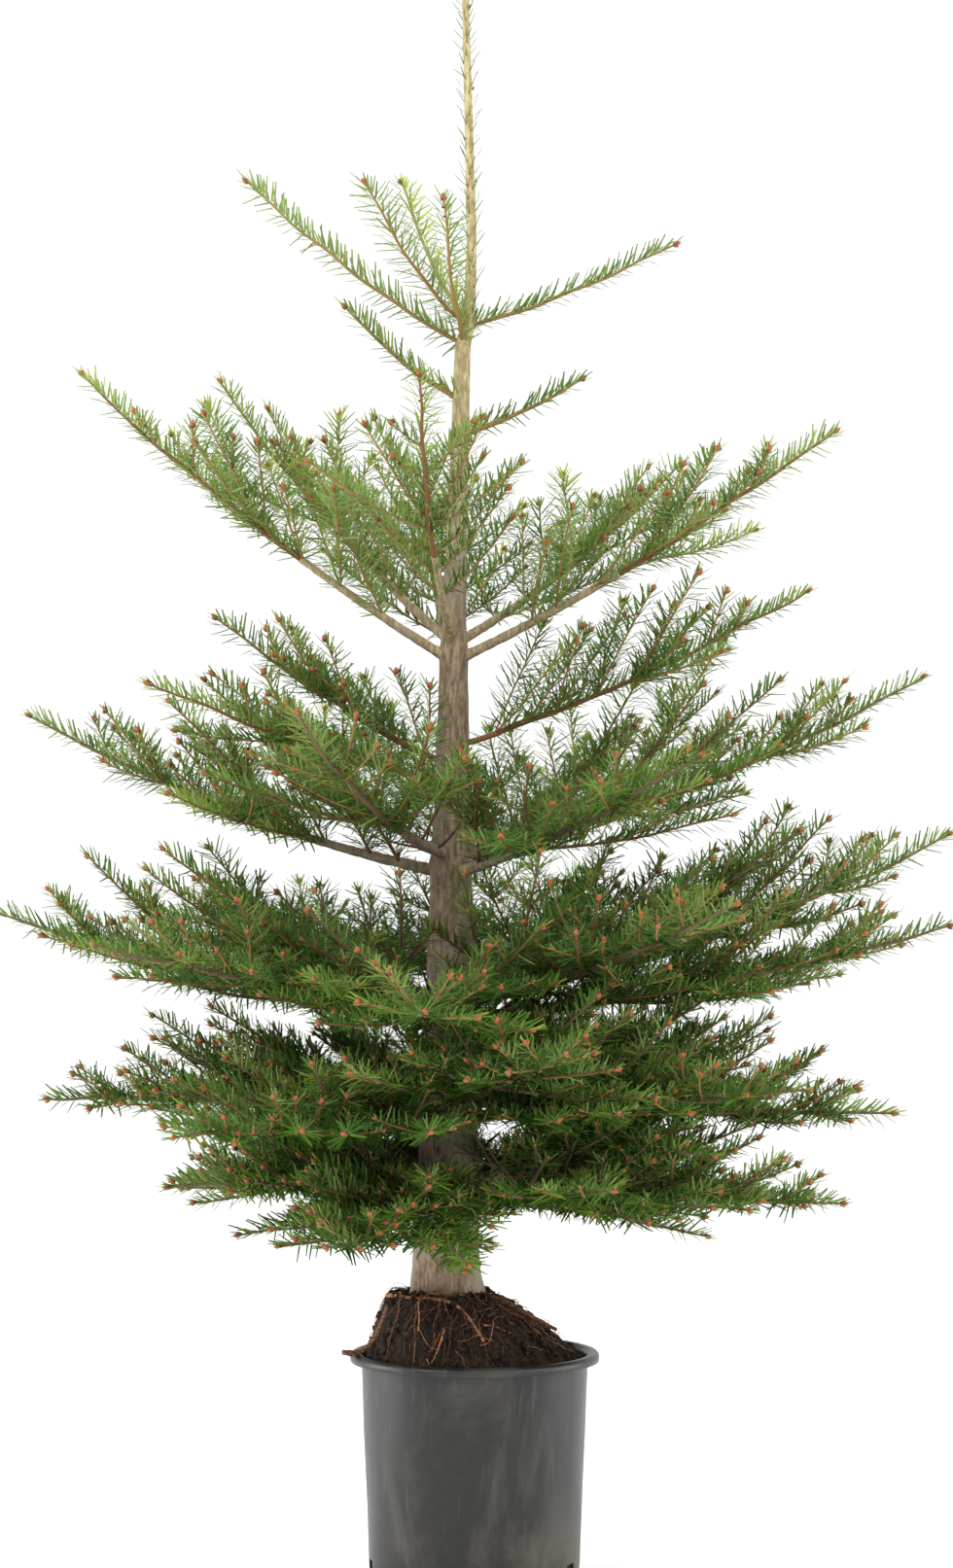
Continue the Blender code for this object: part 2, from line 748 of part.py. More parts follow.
def main():
    for old in list(bpy.data.objects):
        bpy.data.objects.remove(old)
    group = collection(PART)
    slots = collection("pot_cutters")
    cutters = collection("cutters")
    plastic = material("black_plastic", (0.045, 0.044, 0.042), 0.55)
    earth = material("soil", (0.035, 0.022, 0.014), 0.95)
    bark = material("bark", (0.20, 0.155, 0.115), 0.9)
    root_bark = material("root_bark", (0.24, 0.11, 0.06), 0.8)
    needles = material("needles", (0.13, 0.22, 0.06), 0.6)

    make_pot(group, slots, plastic)
    trunk = add("trunk", loft("trunk", trunk_rings()), group, bark)
    trunk_space = as_helper(add("trunk_space", loft("trunk_space", trunk_rings(GAP)), cutters))
    roots, seats = make_roots(group, cutters, root_bark)
    make_soil(group, earth, (trunk_space, *seats))

    crown = Crown()
    for made in (trunk, *roots):
        crown.add(made)
    boughs = all_growth()
    for name, growth in boughs.items():
        if growth.bare:
            crown.add(make_limb("limb_" + name, growth, group, bark, trunk_space))
    leaders = {}
    for name, growth in boughs.items():
        leaders[name] = leading_shoot("foliage_" + name, growth, crown)
        crown.add_shape("foliage_" + name, leaders[name])
    for name, growth in boughs.items():
        make_foliage("foliage_" + name, growth, leaders[name], crown, group, needles, trunk_space)
    for made in group.objects:
        if not made.name.startswith("foliage"):
            made.data.shade_smooth()
            made.data.set_sharp_from_angle(angle=radians(SHARP_EDGE))


main()
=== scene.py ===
"""The looks of the potted Nordmann fir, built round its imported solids.

Metres, +Z up. The camera looks along +Y, and +X is its right. An azimuth is in degrees from +X towards +Y.
Chance is seeded by the name of what grows, so every run gives the same tree.
"""

import random
from math import atan2, cos, degrees, exp, pi, radians, sin
from typing import NamedTuple

import bmesh
import bpy
import numpy as np
from mathutils import Matrix, Vector, noise


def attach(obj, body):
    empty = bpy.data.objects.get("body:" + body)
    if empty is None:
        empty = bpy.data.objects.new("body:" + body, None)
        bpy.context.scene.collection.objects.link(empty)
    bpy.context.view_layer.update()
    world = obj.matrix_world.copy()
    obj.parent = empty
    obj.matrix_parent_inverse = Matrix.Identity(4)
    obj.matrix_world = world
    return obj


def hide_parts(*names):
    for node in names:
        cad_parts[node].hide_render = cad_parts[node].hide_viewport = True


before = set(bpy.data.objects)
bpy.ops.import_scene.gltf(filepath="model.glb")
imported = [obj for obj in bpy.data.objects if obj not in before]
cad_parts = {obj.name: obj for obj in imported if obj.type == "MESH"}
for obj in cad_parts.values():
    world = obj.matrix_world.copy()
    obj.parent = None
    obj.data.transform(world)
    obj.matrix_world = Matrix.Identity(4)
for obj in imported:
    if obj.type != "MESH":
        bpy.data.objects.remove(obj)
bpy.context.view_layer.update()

UP = Vector((0, 0, 1))
MM = 0.001
GOLDEN_TURN = radians(137.5)
SEAM = 1e-6  # points nearer than this are one
noise.seed_set(1)  # without it noise_vector starts from the clock

# The camera, level with the middle of the tree
CAMERA = Vector((0.002, -4.3, 0.866))
VIEW_HEIGHT = 1.664  # how much of the tree's plane the picture takes in, top to bottom
SENSOR = 36

# The studio: place, size and watts of each soft light, and what they point at
LIGHTS = {
    "key": ((-2.4, -2.6, 2.9), 1.6, 62),
    "fill": ((2.9, -2.0, 1.8), 2.2, 32),
    "top": ((0, 0.6, 3.6), 2.4, 34),
    "left": ((-2.2, 0.1, 0.5), 1.3, 30),
    "right": ((2.3, 0.1, 0.5), 1.3, 20),
}
LIT_POINT = Vector((0, 0, 0.8))
WORLD_LIGHT = 1.05
FLOOR_RADIUS = 9
FLOOR_DROP = 0.0005
FLOOR_SIDES = 96
FLOOR_WHITE = (0.97, 0.97, 0.97, 1)

# The trunk: height, X, Y and radius where it changes. The solid's swelling under its tip is left to the buds
TRUNK = (
    (0.318, -0.029, 0.000, 0.0385),
    (0.334, -0.030, 0.000, 0.0375),
    (0.357, -0.0305, 0.000, 0.0360),
    (0.414, -0.0284, 0.001, 0.0330),
    (0.560, -0.0270, 0.003, 0.0285),
    (0.780, -0.0245, 0.002, 0.0215),
    (1.000, -0.0222, 0.000, 0.0145),
    (1.058, -0.0215, 0.000, 0.0125),
    (1.182, -0.0170, -0.001, 0.0100),
    (1.332, -0.0125, -0.001, 0.0083),
    (1.356, -0.0055, 0.000, 0.0060),
    (1.442, -0.0031, 0.001, 0.0054),
    (1.605, -0.0072, 0.002, 0.0042),
    (1.698, -0.0097, 0.002, 0.0035),
    (1.770, -0.0115, 0.002, 0.0029),
    (1.777, -0.0117, 0.002, 0.0030),
    (1.787, -0.0120, 0.002, 0.0014),
)
GROUND = TRUNK[0][0]
LEADER_FOOT = 1.356
FLARE_LOBES = 5
FLARE_DEPTH = 0.0075
FLARE_HEIGHT = 0.045
FLARE_EVEN = 0.55  # the share of the flare that goes all the way round
FLARE_TURN = 0.6
TRUNK_SIDES = 84
TRUNK_RING = 0.003  # height between two rings
COLLAR = 0.10  # of the trunk's radius, where a whorl leaves it
COLLAR_HEIGHT = 0.010
YOUNG_RADIUS = 0.004
OLD_RADIUS = 0.029
RIDGES = (0.25 * MM, 1.55 * MM)  # how far the bark stands out, on a young stem and on an old one
FLAKES = (0.10 * MM, 0.60 * MM)
RIDGE_WAVES = (90, 16)  # to the metre, round the trunk and up it
FLAKE_WAVES = (260, 70)
CUSHION = 0.16 * MM  # of the leaf scars up the leader
CUSHION_ROWS = 8
CUSHION_TWIST = 160

# The pot
POT_HEIGHT = 0.262
POT_BASE_RADIUS = 0.110
POT_TOP_RADIUS = 0.1205
POT_WALL = 0.003
RIM_RADIUS = 0.130
RIM_LIP = 0.007
SLOTS = 10
SLOT_AZIMUTH = 335
SLOT_BOTTOM = 0.008
SLOT_TOP = 0.047
POT_STEPS = 120
SLOT_STEPS = 3
BASE_RINGS = (0, 0.06, 0.09, 0.108)
WALL_RINGS = (0.001, 0.004, SLOT_BOTTOM, 0.021, 0.034, SLOT_TOP, 0.07, 0.10, 0.14, 0.18, 0.22, 0.245, 0.254)
# The rim's roll: out from its edge, and up from the pot's top
RIM_ROLL = (
    (-0.0093, -0.0035), (-0.0083, -0.0014), (-0.0060, -0.0002), (-0.0028, 0),
    (-0.0012, -0.0004), (-0.0002, -0.0016), (0, -0.0035), (-0.0003, -RIM_LIP),
)
SHELL = 0.0024
SHELL_EDGE = 0.0005
DENTS = ((14, 0.0007), (45, 0.00015))  # waves to the metre, and how far they move the wall

# The soil
SOIL_EDGE = 0.256
SOIL_CREST = 0.327
SOIL_MIDDLE = Vector((-0.028, 0, 0))
SOIL_PLATEAU = 0.48
SOIL_SHIFT = 0.22
SOIL_FALL = 1.25
SOIL_SAG = 0.004
SOIL_SIDES = 150
SOIL_SIDE = ((0.106, 0.0036), (0.1075, 0.010), (0.1085, 0.06), (0.112, 0.13), (0.1155, 0.20), (0.1170, 0.246))
SOIL_RINGS = 46
SOIL_SHARES = (1, 0.985, 0.96, *(ring / SOIL_RINGS for ring in range(SOIL_RINGS - 3, 0, -1)))
SOIL_FIT = 0.993  # of the pot's inside
SOIL_LUMPS = 0.0042
SOIL_GRIT = 0.0022
CRUMBS = 2300
CRUMB_LEAST = 0.0009
CRUMB_MORE = 0.0011
CRUMB_MOST = 0.0052

# The bare roots: foot radius, then azimuth, distance from the soil's middle and height over it
ROOTS = {
    "root_left": (
        0.0045,
        ((201, 0.066, -0.004), (201, 0.082, 0.003), (200, 0.100, 0.0155), (200, 0.118, 0.0165)),
    ),
    "root_right": (
        0.0032,
        ((345, 0.046, 0.000), (343, 0.066, 0.004), (343, 0.090, 0.010), (344, 0.119, 0.018)),
    ),
    "root_loop": (
        0.0027,
        (
            (183, 0.064, 0.002), (199, 0.061, 0.001), (218, 0.058, 0.001), (236, 0.057, 0.001),
            (255, 0.055, 0.001), (276, 0.060, 0.001), (288, 0.076, 0.001), (293, 0.096, 0.001),
        ),
    ),
}
ROOT_TAPER = 0.6
ROOT_SIDES = 14
ROOT_RINGS = 60
FINE_ROOTS = 330
COARSE_ROOTS = 34  # of them
COARSE_RADIUS = (0.0007, 0.0015)
FINE_RADIUS = (0.00022, 0.0005)
FINE_TAPER = 0.35
LEAST_LIFT = 0.0002


class Tier(NamedTuple):
    """One year's whorl of boughs: azimuth, reach, tip height and the share that is a bare limb, for each."""

    height: float
    years: int
    radius: float
    lift: float
    boughs: tuple


TIERS = {
    "tier1": Tier(1.342, 1, 0.0026, 0.35, (
        (118, 0.155, 1.524, 0), (182, 0.230, 1.503, 0), (232, 0.170, 1.484, 0), (262, 0.145, 1.466, 0),
        (356, 0.222, 1.438, 0),
    )),
    "tier2": Tier(1.005, 2, 0.0055, 0.38, (
        (45, 0.355, 1.222, 0.40), (97, 0.305, 1.245, 0.40), (148, 0.305, 1.308, 0.42),
        (188, 0.390, 1.293, 0.42), (264, 0.320, 1.268, 0.40), (350, 0.405, 1.235, 0.44),
    )),
    "tier3": Tier(0.780, 3, 0.0068, 0.25, (
        (5, 0.505, 0.980, 0.34), (62, 0.450, 0.930, 0), (122, 0.440, 0.950, 0), (184, 0.445, 0.938, 0.32),
        (247, 0.380, 0.935, 0.30), (307, 0.410, 0.895, 0.32),
    )),
    "tier4": Tier(0.625, 4, 0.0070, 0.25, (
        (10, 0.550, 0.808, 0), (72, 0.480, 0.765, 0), (130, 0.475, 0.740, 0), (174, 0.490, 0.728, 0),
        (217, 0.440, 0.705, 0), (267, 0.430, 0.650, 0), (309, 0.450, 0.750, 0), (341, 0.540, 0.722, 0),
    )),
    "tier5": Tier(0.520, 5, 0.0070, 0.40, (
        (48, 0.450, 0.560, 0), (100, 0.460, 0.540, 0), (181, 0.425, 0.533, 0), (232, 0.430, 0.520, 0),
        (286, 0.420, 0.605, 0), (325, 0.440, 0.560, 0), (356, 0.468, 0.518, 0),
    )),
    "tier6": Tier(0.448, 6, 0.0065, 1.20, (
        (30, 0.360, 0.415, 0), (80, 0.370, 0.400, 0), (140, 0.380, 0.430, 0), (193, 0.300, 0.445, 0),
        (247, 0.310, 0.405, 0), (341, 0.430, 0.437, 0),
    )),
}
STAGGER = 0.009
# Between the whorls: height on the trunk, azimuth, reach, tip height, years
BETWEEN = (
    (1.272, 190, 0.122, 1.368, 1),
    (1.235, 352, 0.130, 1.292, 1),
    (0.905, 358, 0.375, 1.070, 2),
    (0.885, 172, 0.255, 1.045, 2),
    (0.865, 214, 0.370, 0.968, 2),
    (0.415, 276, 0.190, 0.372, 1),
)
BETWEEN_RADIUS = 0.0034
BETWEEN_LIFT = 0.35
BOUGH_BEND = 0.05
LIMB_TAPER = 0.62
LIMB_SIDES = 16
LIMB_RING = 0.003
LEAST_RINGS = 8

# Each year's end of a bough has a spreading pair of side shoots, then a rising pair
SIDE_ANGLES = (52, 36)
SIDE_PITCHES = (-0.10, 0.42)
SIDE_LENGTHS = (0.64, 0.52)
SIDE_STEP = 0.02
SIDE_FORWARD = 0.16
SIDE_RISE = 0.10
ANGLE_SPREAD = 6
PITCH_SPREAD = 0.16
LENGTH_SPREAD = 0.12
DEAD_SHARE = 0.10  # nearer the trunk than this share of the bough, side shoots have died
DEAD_LENGTH = 0.45  # what is left of them
CLEAR_LIMB = 0.30  # the share of a bare limb with no side shoots at all

# Lesser shoots between the years' ends
INNER_PLACES = 3  # to a year
LEAST_PLACES = 10
PLACE_SPREAD = 0.3
INNER_ANGLES = (34, 66)
INNER_PITCHES = (-0.05, 0.75)
INNER_SHARES = (0.24, 0.46)  # of what is left of the bough
INNER_LENGTH = 0.15  # the longest

# Finer twigs, on the side shoots
TWIG_ANGLES = (38, 56)
TWIG_PITCHES = (-0.10, 0.20)
TWIG_LENGTH = 0.60  # of what is left of the shoot
TWIG_LENGTHS = (0.75, 1.15)
TWIG_STEP = 0.02
RISING_CHANCE = 0.45
RISING_ANGLE = 20
RISING_PITCH = 0.45
RISING_LENGTH = 0.7
SHORTEST_TWIG = 0.032
FINEST_ORDER = 3
NEW_RADIUS = 1.25 * MM
YEAR_RADIUS = 0.62 * MM  # added each year
TIP_RADIUS = 1.0 * MM
TWIG_TAPER = 0.85
THICK_TWIG = 3 * MM  # from here on a twig has more sides, and a relief
TWIG_RING = 0.010
WANDER = 0.004  # how far a shoot's line strays, at most and as a share of its length
WANDER_SHARE = 0.02
WANDER_WAVES = 16
WANDER_START = 6
BLUNT_TIP = 0.3  # how far a tube's point stands past its last ring, in rings

# Needles, as shares of their own length where no unit is given
NEEDLE_STEP = 1.24 * MM  # along a shoot, from one to the next
NEEDLE_STEP_SPREAD = 0.6
NEEDLE_STEP_SHADED = 0.14  # wider for each tone down
FEWEST_NEEDLES = 4
NEEDLE_WIDTH = 2.5 * MM
NEEDLE_KEEL = 0.4 * MM
NEEDLE_SHOULDER = 0.14
NEEDLE_END = 0.52  # of its width
NEEDLE_CURVE = 0.10
KEEL_PLACE = 0.55
KEEL_CURVE = 0.35
COMB = radians(126)  # how far round from the top the needles come
COMB_POWER = 0.8
COMB_PLACES = (0, radians(80), COMB)  # over the shoot, at its sides and low at its sides
NEEDLE_LENGTHS = (16.5 * MM, 27 * MM, 21 * MM)
NEEDLE_LEANS = (radians(54), radians(62), radians(72))
NEEDLE_LEAN_SPREAD = 0.09
NEEDLE_TURN_SPREAD = 0.2
NEEDLE_LENGTH_SPREAD = 0.09
NEEDLE_WIDTH_SPREAD = 0.08
NEEDLE_FACE_SPREAD = 0.22
FACE_UP = 0.8
FACE_AHEAD = 0.6
TWIG_ROLL = 0.45
TIP_STRETCH = (0.004, 0.022)  # from the tip, where needles crowd forward round the end bud
TIP_LEAN = 0.55
TIP_SHORTER = 0.38
WEAK_NEEDLES = 0.86  # on the shortest shoots
STRONG_SHOOT = 0.15
# This reach also takes the needles' painted shade from full at the trunk to none
SHADE_REACH = (0.015, 0.09)  # from the trunk's axis, bare to fully clothed
AGES = (0, 2.2, 4, 6)
STILL_CLOTHED = (1, 0.85, 0.5, 0.15)  # the share of needles left at each age
NEEDLE_FACES = np.array((
    (0, 2, 1), (1, 2, 4), (1, 4, 3),
    (0, 1, 5), (1, 3, 5), (3, 4, 5), (4, 2, 5), (2, 0, 5),
))
TOP_FACES = 3

# Tones, from 0 for the newest needles; higher for older needles and for painted shade
# Each tier's tone: the lower tiers are darker, which is painted shade
TIER_TONES = {
    "tier1": 1.0, "tier2": 1.4, "tier3": 1.9, "tier4": 2.2, "tier5": 2.3, "tier6": 2.1, "between": 1.8,
}
TONES = 6
UNDERSIDES = 3
SHOOT_TONE_SPREAD = 0.55
ORDER_TONE = 0.15
AGE_TONE = 0.28
# Tip needles are lighter: the new growth's own paler green, and painted backlight
TIP_TONE = 1.1
# Painted shade: how many tones darker the needles are where no light gets to them
SHADE_TONE = 1.2
TONE_SPREAD = 0.33
UNDERSIDE_SHARE = 0.55
UNDERSIDE_PALER = 0.6
UNDERSIDE_SPREAD = 0.3
OLD_TWIG = 2
DEAD_TWIG = 3
FULL_PIECE = 110000  # triangles of needles, after which the next boughs go into a new piece

# Buds
BUD_RINGS = ((0.0, 0.55), (0.30, 1.0), (0.68, 0.72))  # up its length, and of its radius
BUD_SIDES = 5
END_BUD = 7.4 * MM
FINE_END_BUD = 5.0 * MM
SIDE_BUD = 3.6 * MM
SIDE_BUD_RADIUS = 1.3 * MM

# The leader's own needles and buds
LEADER_CLEAR = 0.004
LEADER_STEP = 0.0030
LEADER_NEEDLES = (0.011, 0.018)
LEADER_NEEDLE_WIDTH = 1.6 * MM
LEADER_LEAN = radians(42)
LEADER_BUDS = (1.388, 1.412, 1.455, 1.500, 1.538, 1.546, 1.603, 1.632, 1.690, 1.728)
CROWN_BUDS = 5


def colour(red, green, blue):
    """The linear colour of these display values, from 0 to 255."""
    def linear(value):
        value /= 255
        return value / 12.92 if value < 0.04045 else ((value + 0.055) / 1.055) ** 2.4
    return linear(red), linear(green), linear(blue), 1


class Wire:
    """A shader socket. A sum with it adds a Math node."""

    def __init__(self, paint, socket):
        self.paint = paint
        self.socket = socket

    def maths(self, operation, first, second):
        return self.paint.node("ShaderNodeMath", {"operation": operation}, {0: first, 1: second})

    def __add__(self, other):
        return self.maths("ADD", self, other)

    __radd__ = __add__

    def __mul__(self, other):
        return self.maths("MULTIPLY", self, other)

    __rmul__ = __mul__

    def __sub__(self, other):
        return self.maths("SUBTRACT", self, other)

    def __rsub__(self, other):
        return self.maths("SUBTRACT", other, self)

    def between(self, low, high):
        """0 below the low value, 1 over the high one, and smooth between."""
        return self.paint.node(
            "ShaderNodeMapRange",
            {"interpolation_type": "SMOOTHSTEP"},
            {"Value": self, "From Min": low, "From Max": high},
        )


class Paint:
    """A material under construction."""

    def __init__(self, name, roughness=0.5, gloss=0.5):
        self.material = bpy.data.materials.new(name)
        self.material.use_nodes = True
        self.tree = self.material.node_tree
        self.shader = self.tree.nodes["Principled BSDF"]
        self.shader.inputs["Roughness"].default_value = roughness
        self.shader.inputs["Specular IOR Level"].default_value = gloss

    def set(self, socket, value):
        if isinstance(value, Wire):
            self.tree.links.new(value.socket, socket)
        else:
            socket.default_value = value

    def node(self, kind, settings=None, values=None, output=0):
        made = self.tree.nodes.new(kind)
        for name, value in (settings or {}).items():
            if name == "stops":
                self.set_stops(made.color_ramp, value)
            else:
                setattr(made, name, value)
        for name, value in (values or {}).items():
            self.set(made.inputs[name], value)
        return Wire(self, made.outputs[output])

    @staticmethod
    def set_stops(ramp, stops):
        while len(ramp.elements) < len(stops):
            ramp.elements.new(1)
        for element, (position, *shade) in zip(ramp.elements, stops):
            element.position = position
            element.color = colour(*shade)

    def place(self, stretch=(1, 1, 1)):
        """Object coordinates, stretched."""
        where = self.node("ShaderNodeTexCoord", output="Object")
        return self.node("ShaderNodeMapping", None, {"Vector": where, "Scale": stretch})

    def grain(self, scale, detail=3, roughness=0.55, stretch=(1, 1, 1), distortion=0):
        """Noise from 0 to 1, at this many patches a metre."""
        return self.node("ShaderNodeTexNoise", None, {
            "Vector": self.place(stretch),
            "Scale": scale,
            "Detail": detail,
            "Roughness": roughness,
            "Distortion": distortion,
        })

    def cells(self, scale):
        """The distance from the middle of the nearest cell."""
        return self.node("ShaderNodeTexVoronoi", {"feature": "F1"}, {"Vector": self.place(), "Scale": scale})

    def height(self):
        where = self.node("ShaderNodeTexCoord", output="Object")
        return self.node("ShaderNodeSeparateXYZ", None, {0: where}, output="Z")

    def ramp(self, factor, *stops):
        return self.node("ShaderNodeValToRGB", {"stops": stops}, {"Fac": factor})

    def mix(self, factor, first, second):
        """Socket 0 is the factor, and 6 and 7 are the colours, which come out of output 2."""
        return self.node("ShaderNodeMix", {"data_type": "RGBA"}, {0: factor, 6: first, 7: second}, output=2)

    def bump(self, height, distance, strength=1.0):
        values = {"Height": height, "Distance": distance, "Strength": strength}
        self.set(self.shader.inputs["Normal"], self.node("ShaderNodeBump", None, values))

    def base(self, value):
        self.set(self.shader.inputs["Base Color"], value)

    def rough(self, value):
        self.set(self.shader.inputs["Roughness"], value)


def plain(name, shade, roughness, gloss):
    made = Paint(name, roughness, gloss)
    made.base(shade)
    return made.material


def needle_finishes():
    """Upper sides, newest to oldest and darker in painted shade, then undersides from the palest."""
    tops = {
        # The newest needles' paler green, lighter still as painted backlight
        "needle_newest": colour(160, 174, 66),
        "needle_new": colour(120, 148, 54),
        "needle_green": colour(86, 120, 38),
        "needle_deep": colour(58, 92, 28),
        "needle_shaded": colour(38, 62, 22),
        "needle_old": colour(78, 66, 34),
    }
    unders = {
        "underside_pale": colour(132, 152, 84),
        "underside_green": colour(92, 120, 54),
        "underside_shaded": colour(50, 74, 30),
    }
    made = [plain(name, shade, 0.5, 0.2) for name, shade in tops.items()]
    made += [plain(name, shade, 0.65, 0.12) for name, shade in unders.items()]
    return made


def twig_finishes():
    """By the twig's age, and last the dead ones'."""
    return [
        plain("twig_new", colour(150, 118, 70), 0.6, 0.3),
        plain("twig_brown", colour(124, 88, 56), 0.7, 0.25),
        plain("twig_old", colour(112, 92, 70), 0.8, 0.2),
        plain("twig_dead", colour(92, 76, 62), 0.9, 0.15),
    ]


def bud_finishes():
    return [
        plain("bud", colour(158, 94, 56), 0.5, 0.3),
        plain("bud_dark", colour(112, 60, 38), 0.55, 0.3),
    ]


def bark_finish(name, young_from, young_to):
    """Grey-brown flaky bark, paler and olive towards the top where it is young."""
    made = Paint(name, gloss=0.25)
    flakes = made.grain(240, 5, 0.65, (1, 1, 0.28))
    patches = made.grain(28, 3, 0.5, (1, 1, 0.5))
    fissures = made.grain(120, 4, 0.7, (1, 1, 0.12), 0.4)
    brown = made.ramp(flakes, (0.28, 74, 58, 46), (0.50, 132, 112, 92), (0.72, 176, 156, 132))
    grey = made.mix(patches.between(0.42, 0.66) * 0.6, brown, colour(148, 140, 126))
    cracked = made.mix(fissures.between(0.60, 0.76) * 0.65, grey, colour(58, 44, 36))
    young = made.mix(flakes.between(0.35, 0.7), colour(150, 132, 92), colour(204, 190, 146))
    made.base(made.mix(made.height().between(young_from, young_to), cracked, young))
    made.rough(0.72 + flakes * 0.22)
    made.bump(fissures * 0.7 + flakes * 0.5, 0.0012, 0.8)
    return made.material


def soil_finish():
    """Dark crumbly soil, darker still where it is damp."""
    made = Paint("soil", gloss=0.2)
    lumps = made.grain(170, 6, 0.7)
    damp = made.grain(30, 2)
    shade = made.ramp(lumps, (0.30, 20, 14, 10), (0.52, 44, 34, 27), (0.74, 80, 66, 54))
    made.base(made.mix(damp.between(0.40, 0.65) * 0.5, shade, colour(34, 25, 19)))
    made.rough(0.86 + lumps * 0.12)
    made.bump(lumps, 0.003, 0.9)
    return made.material


def root_finish(name, dark, light):
    made = Paint(name, gloss=0.3)
    wrinkles = made.grain(320, 3, 0.6)
    broad = made.grain(60, 2)
    shade = made.mix(wrinkles.between(0.34, 0.68), dark, light)
    made.base(made.mix(broad.between(0.55, 0.75) * 0.5, shade, colour(58, 42, 32)))
    made.rough(0.6 + wrinkles * 0.25)
    made.bump(wrinkles, 0.0008, 0.7)
    return made.material


def plastic_finish():
    """Used black plastic: dusty smears, fine pits and upright scuffs, and earth towards the foot."""
    made = Paint("pot_plastic", gloss=0.4)
    smears = made.grain(14, 4, 0.6, (1, 1, 0.45), 0.6)
    dust = made.grain(90, 4, 0.7)
    scuffs = made.grain(160, 2, 0.5, (1, 1, 0.06))
    pitted = (1 - made.cells(300).between(0.05, 0.2)) * dust.between(0.55, 0.7) * 0.7
    earthy = (1 - made.height().between(0.02, 0.12)) * smears.between(0.4, 0.7) * 0.35
    clean = made.mix(dust.between(0.3, 0.75), colour(26, 25, 24), colour(34, 33, 31))
    dusty = made.mix(smears.between(0.50, 0.72) * 0.24, clean, colour(110, 107, 101))
    scuffed = made.mix(scuffs.between(0.62, 0.78) * 0.16, dusty, colour(112, 110, 106))
    speckled = made.mix(pitted, scuffed, colour(24, 22, 20))
    made.base(made.mix(earthy, speckled, colour(106, 90, 74)))
    made.rough(0.26 + dust * 0.2 + smears.between(0.5, 0.7) * 0.14)
    made.bump(dust * 0.4 + scuffs * 0.3, 0.0006, 0.35)
    return made.material


def in_scene(name, mesh):
    made = bpy.data.objects.new(name, mesh)
    bpy.context.scene.collection.objects.link(made)
    return made


def piece_of(name, shape, finish):
    """A smooth piece with this bmesh's shape, which is freed."""
    mesh = bpy.data.meshes.new(name)
    shape.to_mesh(mesh)
    shape.free()
    mesh.materials.append(finish)
    mesh.shade_smooth()
    return in_scene(name, mesh)


def hand_in(piece, slot, *nodes):
    """Sets the piece to ride on the root body and hides the solids it replaces. slot is not used."""
    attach(piece, "root")
    if nodes:
        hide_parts(*nodes)


class Heap:
    """Triangles gathered from many small shapes, for one joined piece."""

    def __init__(self):
        self.points = []
        self.triangles = []
        self.slots = []
        self.count = 0

    def add(self, points, triangles, slots):
        self.points.append(points)
        self.triangles.append(triangles + self.count)
        self.slots.append(np.broadcast_to(slots, len(triangles)))
        self.count += len(points)

    def size(self):
        return sum(len(triangles) for triangles in self.triangles)

    def piece(self, name, finishes, smooth=False):
        points = np.concatenate(self.points).astype(np.float32)
        triangles = np.concatenate(self.triangles).astype(np.int32)
        mesh = bpy.data.meshes.new(name)
        mesh.vertices.add(len(points))
        mesh.vertices.foreach_set("co", points.ravel())
        mesh.loops.add(triangles.size)
        mesh.loops.foreach_set("vertex_index", triangles.ravel())
        mesh.polygons.add(len(triangles))
        mesh.polygons.foreach_set("loop_start", np.arange(0, triangles.size, 3, dtype=np.int32))
        mesh.polygons.foreach_set("material_index", np.concatenate(self.slots).astype(np.int32))
        mesh.update(calc_edges=True)
        if smooth:
            mesh.shade_smooth()
        else:
            mesh.shade_flat()
        for finish in finishes:
            mesh.materials.append(finish)
        return in_scene(name, mesh)


def between(stations, height):
    """The station at this height, in straight lines between those given."""
    for low, high in zip(stations, stations[1:]):
        if height <= high[0]:
            break
    share = max(0, (height - low[0]) / (high[0] - low[0]))
    return [a + (b - a) * share for a, b in zip(low, high)]


def trunk_axis(height):
    _, x, y, _ = between(TRUNK, height)
    return Vector((x, y, height))


class Bough:
    """The curved line that a bough follows, from the middle of the trunk to its tip."""

    def __init__(self, name, height, azimuth, reach, tip, lift):
        out = Vector((cos(radians(azimuth)), sin(radians(azimuth)), 0))
        across = UP.cross(out)
        bend = random.Random(name + "-bend").uniform(-BOUGH_BEND, BOUGH_BEND) * reach
        self.start = trunk_axis(height)
        self.end = Vector((self.start.x, self.start.y, tip)) + out * reach
        self.middle = self.start.lerp(self.end, 0.5) + across * bend
        self.middle.z = height + lift * (tip - height)
        self.length = (self.middle - self.start).length + (self.end - self.middle).length

    def point(self, share):
        first = self.start.lerp(self.middle, share)
        return first.lerp(self.middle.lerp(self.end, share), share)


class Side(NamedTuple):
    """A side shoot: its year and place on its parent, the side it leaves to, its direction and length."""

    year: int
    share: float
    turn: int
    angle: float
    pitch: float
    length: float


class Shoot:
    """The line of a side shoot, which leaves its parent and bends a little forward and up."""

    def __init__(self, parent, side, length):
        self.start = parent.point(side.share)
        ahead = (parent.point(side.share + 0.01) - self.start).normalized()
        across = ahead.cross(UP).normalized()
        over = across.cross(ahead)
        self.out = ahead * cos(side.angle) + across * side.turn * sin(side.angle) + over * side.pitch
        self.bend = ahead * SIDE_FORWARD + over * SIDE_RISE
        self.length = length

    def point(self, share):
        return self.start + (self.out * share + self.bend * share * share) * self.length


class Growth(NamedTuple):
    """A shoot's line, years and radius, its bare share, and how many forks it is from the trunk's boughs."""

    name: str
    line: object
    years: int
    radius: float
    bare: float
    order: int
    dead: bool


